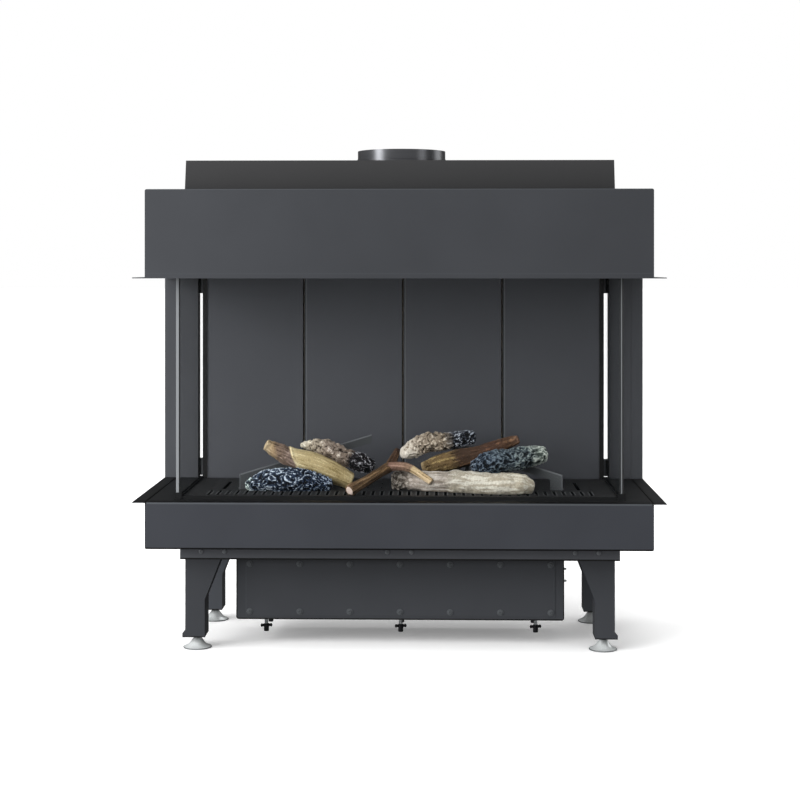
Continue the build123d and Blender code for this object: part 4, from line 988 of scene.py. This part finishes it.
class FIREPLACE_OT_glass(bpy.types.Operator):
    """Makes the three panes clear fire glass and the rope that seals them"""

    bl_idname = "fireplace.glass"
    bl_label = "Glass"

    def execute(self, context):
        across, back = (1, 0, 0), (0, 1, 0)
        # The ground left end of the front pane catches the light; the right end lies in its own shade.
        ends = (
            ("#7b7e81", None, (across, -0.4786, 0.0030)),
            ("#6b6e71", None, (across, 0.4774, 0.0011)),
            ("#08090a", None, (across, 0.4801, 0.0016)),
        )
        front = fire_glass("Fire glass, ground ends with painted light and shade", ends)
        sides = fire_glass("Fire glass, ground edge", (("#1f2223", 0, (back, -0.1654, 0.0008)),))
        dress(["front_glass"], front)
        dress(["left_glass", "right_glass"], sides)
        dress(["glass_rope_seal"], mineral_fibre("Braided glass-fibre rope", "#1c1c1d", "#4c4c4e", 700.0))
        return {"FINISHED"}


class FIREPLACE_OT_gas_train(bpy.types.Operator):
    """Finishes the valve, knob, receiver, pipes, inlet and insulation"""

    bl_idname = "fireplace.gas_train"
    bl_label = "Gas train"

    def execute(self, context):
        dress(["gas_valve"], metal_film("Die-cast aluminium", "#a6a8ab", 0.45, 500.0))
        dress(["gas_pipes"], metal_film("Drawn aluminium tube", "#b4b5b8", 0.35, 300.0))
        dress(["gas_inlet"], metal_film("Turned brass", "#c9a55a", 0.3, 700.0))
        dress(["valve_knob", "receiver"], moulded_nylon("Moulded black nylon", "#1d1d1f"))
        dress(["insulation_board"], mineral_fibre("Pressed mineral fibre", "#b9ae95", "#ded6c2", 320.0))
        return {"FINISHED"}


class FIREPLACE_OT_fasteners(bpy.types.Operator):
    """Seats screws, bolts, studs and wing nuts"""

    bl_idname = "fireplace.fasteners"
    bl_label = "Fasteners"

    def execute(self, context):
        fit = context.scene.fireplace_fasteners
        # The screw heads are coloured lighter than the box coat, as a painted highlight on their rims.
        painted = powder_coat("Painted screw head", "#484b4e", 0.4)
        # The bolt heads are coloured lighter still, as painted light: they sit in the tray's shade.
        bolt_painted_light = powder_coat("Bolt head, painted light", "#74777b", 0.4)
        zinc = metal_film("Bright zinc plate", "#c3c7c8", 0.3, 900.0)
        black = metal_film("Black oxide steel", "#2a2a2c", 0.45, 900.0)
        dress(["foot_nuts"], zinc)

        # Cover screws: from the shank's end to the washer, the crown and its hexagon socket.
        profile = [(0.0, -0.0095), (0.0025, -0.0095), (0.0025, 0.0), (0.0068, 0.0), (0.0070, 0.0004)]
        profile += [(0.0068, 0.0012), (0.0044, 0.0015), (0.0042, 0.0026), (0.0037, 0.0034), (0.0030, 0.0035)]
        profile += [(0.0022, 0.0034), (0.0021, 0.0022), (0.0, 0.0021)]
        screw = turned_towards(lathe("cover_screw", profile, 24, hexed=(10, 11)), (0, -1, 0))
        half = (fit.screw_count - 1) / 2
        cover_face, screw_heights = FRONT_Y + 0.1195, (0.0765, 0.181)
        places = [
            (fit.screw_pitch * (number - half), cover_face, height)
            for number in range(fit.screw_count)
            for height in screw_heights
        ]
        screws = seated("cover_screw_set", screw, places, (0, FULL_TURN, 0), fit.seed, painted)
        stands_for(screws, "root", "casing_steel", "cover_screws")

        # Rail bolts: button heads in front, hexagon nuts behind the rails and the legs.
        # Distances from the middle plane, each with the depth of what the bolt holds there.
        depth_at = {0.026: 0.0020, 0.380: 0.0043, 0.431: 0.0043}
        head = [(0.0, -0.0045), (0.003, -0.0045), (0.003, 0.0), (0.0049, 0.0), (0.005, 0.0006)]
        head += [(0.0046, 0.0018), (0.0034, 0.0027), (0.0019, 0.003), (0.0018, 0.0018), (0.0, 0.0017)]
        heads = turned_towards(lathe("rail_bolt_head", head, 24, hexed=(7, 8)), (0, -1, 0))
        nut = [(0.0, 0.0), (0.0046, 0.0), (0.005, 0.0005), (0.005, 0.0045), (0.0046, 0.005), (0.0031, 0.005)]
        nut += [(0.0029, 0.0052), (0.0, 0.0054)]
        nuts = turned_towards(lathe("rail_bolt_nut", nut, 24, hexed=(1, 2, 3, 4)), (0, 1, 0))
        # The front rail is bolted at every distance, the rear rail at its ends only.
        rails = ((FRONT_Y + 0.078, list(depth_at)), (FRONT_Y + 0.364, list(depth_at)[1:]))
        bolt_height = 0.215
        head_places = [(side * x, y, bolt_height) for y, row in rails for x in row for side in (-1, 1)]
        nut_places = [(x, y + depth_at[abs(x)], z) for x, y, z in head_places]
        bolts = seated("rail_bolt_heads", heads, head_places, (0, FULL_TURN, 0), fit.seed + 1, bolt_painted_light)
        locks = seated("rail_bolt_nuts", nuts, nut_places, (0, FULL_TURN, 0), fit.seed + 2, zinc)
        stands_for(bolts, "root", "casing_steel", "rail_bolts")
        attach(locks, "root")

        # Studs: short screws on the box's right side, threaded bars with wing nuts under it.
        profile = [(0.0, 0.0), (0.0025, 0.0), (0.0025, 0.0045), (0.0020, 0.0055)]
        profile += [(0.0010, 0.006), (0.0, 0.006)]
        short = turned_towards(lathe("side_stud", profile, 16), (1, 0, 0))
        box_side, stud_depth, stud_heights = 0.3597, FRONT_Y + 0.135, (0.170, 0.144)
        places = [(box_side, stud_depth, height) for height in stud_heights]
        pair = seated("side_stud_pair", short, places, (0, 0, 0), 0, zinc)
        stands_for(pair, "root", "zinc_steel", "side_studs")
        bar_length, core_radius, nut_foot = 0.0383, 0.0036, 0.0163
        core = [(0.0, 0.0), (core_radius, 0.0), (core_radius, bar_length), (0.0, bar_length)]
        core = lathe("wing_stud_core", core, 16)
        bar = threaded("wing_stud_bar", core, 0.0043, 0.00125, 0.0008, 0.0365, zinc)
        columns, depths, bar_foot = (-0.3015, 0.0, 0.3015), (0.200, 0.299), 0.0206
        places = [(x, FRONT_Y + depth, bar_foot) for x in columns for depth in depths]
        bars = seated("wing_stud_set", bar.data, places, (0, 0, FULL_TURN), fit.seed + 3, zinc)
        bpy.data.objects.remove(bar)
        stands_for(bars, "root", "zinc_steel", "wing_studs")
        places = [(x, y, nut_foot) for x, y, z in places]
        wings = seated("wing_nut_set", wing_nut_mesh("wing_nut"), places, (0, 0, 0.35), fit.seed + 4, black)
        stands_for(wings, "root", slot_of("wing_nuts"), "wing_nuts")
        return {"FINISHED"}


class FIREPLACE_OT_feet(bpy.types.Operator):
    """Turns the four levelling feet, each with its threaded spindle"""

    bl_idname = "fireplace.feet"
    bl_label = "Levelling feet"

    def execute(self, context):
        pitch = context.scene.fireplace_fasteners.spindle_pitch
        # The foot's bottom rim is painted darker as shade at the floor; a band round the neck is painted
        # darker too.
        rim_shade_and_neck_band = (
            ("#75797a", None, ((0, 0, 1), 0.0010, 0.0018)),
            ("#9ba0a0", None, ((0, 0, 1), 0.0230, 0.0012)),
        )
        zinc = metal_film("Zinc-plated spun steel", "#dfe3e3", 0.4, 600.0, 0.45, rim_shade_and_neck_band)
        profile = [(0.0, 0.0), (0.0295, 0.0), (0.0308, 0.0006), (0.031, 0.0016), (0.0303, 0.0026)]
        profile += [(0.0286, 0.0031), (0.0246, 0.0045), (0.0205, 0.0071), (0.0172, 0.0102), (0.0146, 0.0134)]
        profile += [(0.0120, 0.0168), (0.0096, 0.0203), (0.0079, 0.0224), (0.0069, 0.0232), (0.0065, 0.0245)]
        profile += [(0.0065, 0.0268), (0.0060, 0.0273), (0.0044, 0.0274), (0.0044, 0.0774), (0.0038, 0.0780)]
        profile += [(0.0, 0.0780)]
        for end, depth in (("front", 0.1083), ("rear", 0.3943)):
            for side, across in (("left", -0.443), ("right", 0.443)):
                name = end + "_" + side + "_foot"
                core = lathe(name + "_core", profile, 48)
                foot = threaded(name + "_turned", core, 0.005, pitch, 0.0285, 0.0480, zinc)
                foot.data.transform(Matrix.Translation((across, FRONT_Y + depth, 0.0)))
                stands_for(foot, name, "zinc_steel", name)
        return {"FINISHED"}


class FIREPLACE_OT_logs(bpy.types.Operator):
    """Carves and paints the eight ceramic logs"""

    bl_idname = "fireplace.logs"
    bl_label = "Ceramic logs"

    def execute(self, context):
        # noise_vector draws its offsets from this seed; without it each run would carve other ridges.
        noise.seed_set(context.scene.fireplace_logs.seed)
        for number, (name, log) in enumerate(LOGS.items()):
            seed = Vector(LOG_DRIFT) * (number + 1)
            mesh = log_mesh(name + "_carved", dict(log, seed=seed))
            title = "Painted ceramic " + name.replace("_", " ")
            mesh.materials.append(painted_ceramic(title, **log["paint"]))
            stands_for(object_from(name + "_carved", mesh), "root", "log_ceramic", name)
        return {"FINISHED"}


class FIREPLACE_OT_stage(bpy.types.Operator):
    """Sets the floor, the soft lights and the camera at the photograph's angle"""

    bl_idname = "fireplace.stage"
    bl_label = "Studio stage"

    def execute(self, context):
        scene = context.scene
        stage = scene.fireplace_stage
        scene.view_settings.view_transform = "Standard"
        matt = {"Emission Strength": stage.glow}
        floor_finish, tree, shader, where = finish("Matt white studio floor", stage.floor, 0.9, **matt)
        speck = node(tree, "ShaderNodeTexNoise", {"Vector": where, "Scale": 2.0, "Detail": 2.0})
        tone = node(tree, "ShaderNodeValToRGB", [speck], [(0.3, "#f8f8f8"), (0.7, stage.floor)])
        feed(shader, {"Base Color": tone, "Emission Color": tone})
        mesh = bpy.data.meshes.new("studio_floor")
        corners = [(x * FLOOR_REACH, y * FLOOR_REACH, 0) for x, y in ((-1, -1), (1, -1), (1, 1), (-1, 1))]
        mesh.from_pydata(corners, [], [(0, 1, 2, 3)])
        mesh.materials.append(floor_finish)
        floor = object_from("studio_floor", mesh)
        floor.visible_diffuse = False
        floor.visible_glossy = False

        # The surround looks white; it lights the object most from the front left and least from below.
        world = bpy.data.worlds.new("Studio surround")
        scene.world = world
        world.use_nodes = True
        tree = world.node_tree
        way = node(tree, "ShaderNodeTexCoord").outputs["Generated"]
        dot = node(tree, "ShaderNodeVectorMath", [way, (0.45, 0.9, 0.0)], operation="DOT_PRODUCT")
        away = dot.outputs["Value"]
        level = node(tree, "ShaderNodeMapRange", [away, -0.6, 0.5, stage.front, stage.back])
        rise = node(tree, "ShaderNodeSeparateXYZ", [way]).outputs["Z"]
        lower = node(tree, "ShaderNodeMapRange", [rise, -0.5, 0.0, 0.4, 1.0])
        strength = node(tree, "ShaderNodeMath", [level, lower], operation="MULTIPLY")
        seen = node(tree, "ShaderNodeLightPath").outputs["Is Camera Ray"]
        shown = node(tree, "ShaderNodeMath", [strength, seen], operation="MAXIMUM")
        feed(tree.nodes["Background"], {"Color": (1.0, 1.0, 1.0, 1.0), "Strength": shown})

        sun = bpy.data.lights.new("overhead_softlight", "SUN")
        sun.energy = stage.overhead
        sun.angle = math.radians(80)
        over = object_from("overhead_softlight", sun)
        over.rotation_euler = Vector((0.25, 0.35, -1.0)).to_track_quat("-Z", "Y").to_euler()
        # Rows of name, place, height of the aim on the middle line, width, height and share of the key.
        for name, place, aim, wide, high, power in (
            ("key_softbox", (-2.3, -2.5, 1.3), 0.7, 1.6, 1.6, 1.0),
            ("side_strip", (-3.1, -1.4, 1.2), 0.9, 0.55, 2.2, 0.6),
            ("left_gleam", (-2.95, -1.7, 1.2), 0.9, 1.15, 2.2, 1.5),
            ("right_gleam", (3.0, 1.2, 1.2), 0.9, 1.5, 2.2, 0.45),
            ("right_fill", (3.1, -2.0, 1.3), 0.7, 1.2, 1.6, 0.2),
            ("rear_softbox", (0.8, 2.8, 4.4), 0.4, 2.4, 2.4, 0.8),
        ):
            lamp = bpy.data.lights.new(name, "AREA")
            lamp.energy = stage.key * power
            lamp.shape = "RECTANGLE"
            lamp.size = wide
            lamp.size_y = high
            obj = object_from(name, lamp)
            obj.location = place
            way = Vector((0, 0, aim)) - Vector(place)
            obj.rotation_euler = way.to_track_quat("-Z", "Y").to_euler()
            obj.visible_glossy = name not in ("key_softbox", "side_strip")
            obj.visible_diffuse = not name.endswith("_gleam")

        lens = bpy.data.cameras.new("photo_camera")
        lens.sensor_width = 36.0
        lens.lens = CAMERA_LENS
        lens.shift_y = CAMERA_SHIFT
        lens.clip_end = 200.0
        camera = object_from("photo_camera", lens)
        camera.location = CAMERA_PLACE
        camera.rotation_euler = (math.radians(90), 0, math.radians(CAMERA_TURN))
        scene.camera = camera
        return {"FINISHED"}


class FIREPLACE_PT_parts(bpy.types.Panel):
    """Lists the steps and their sizes in the sidebar"""

    bl_label = "Gas fireplace"
    bl_idname = "FIREPLACE_PT_parts"
    bl_space_type = "VIEW_3D"
    bl_region_type = "UI"
    bl_category = "Fireplace"

    def draw(self, context):
        layout = self.layout
        for key in GROUPS:
            group = getattr(context.scene, key)
            box = layout.box()
            for label in type(group).__annotations__:
                box.prop(group, label)
        for step in STEPS:
            layout.operator(step.bl_idname)


GROUPS = {
    "fireplace_steel": FireplaceSteel,
    "fireplace_fasteners": FireplaceFasteners,
    "fireplace_logs": FireplaceLogs,
    "fireplace_stage": FireplaceStage,
}
STEPS = (
    FIREPLACE_OT_stage,
    FIREPLACE_OT_casings,
    FIREPLACE_OT_flue,
    FIREPLACE_OT_glass,
    FIREPLACE_OT_gas_train,
    FIREPLACE_OT_fasteners,
    FIREPLACE_OT_feet,
    FIREPLACE_OT_logs,
)


def register():
    for name, group in GROUPS.items():
        bpy.utils.register_class(group)
        setattr(bpy.types.Scene, name, bpy.props.PointerProperty(type=group))
    for step in STEPS + (FIREPLACE_PT_parts,):
        bpy.utils.register_class(step)


def unregister():
    for step in reversed(STEPS + (FIREPLACE_PT_parts,)):
        bpy.utils.unregister_class(step)
    for name, group in GROUPS.items():
        delattr(bpy.types.Scene, name)
        bpy.utils.unregister_class(group)


def main():
    """Registers the add-on and runs every step in order."""
    register()
    for step in STEPS:
        area, name = step.bl_idname.split(".")
        getattr(getattr(bpy.ops, area), name)()


if __name__ == "__main__":
    main()
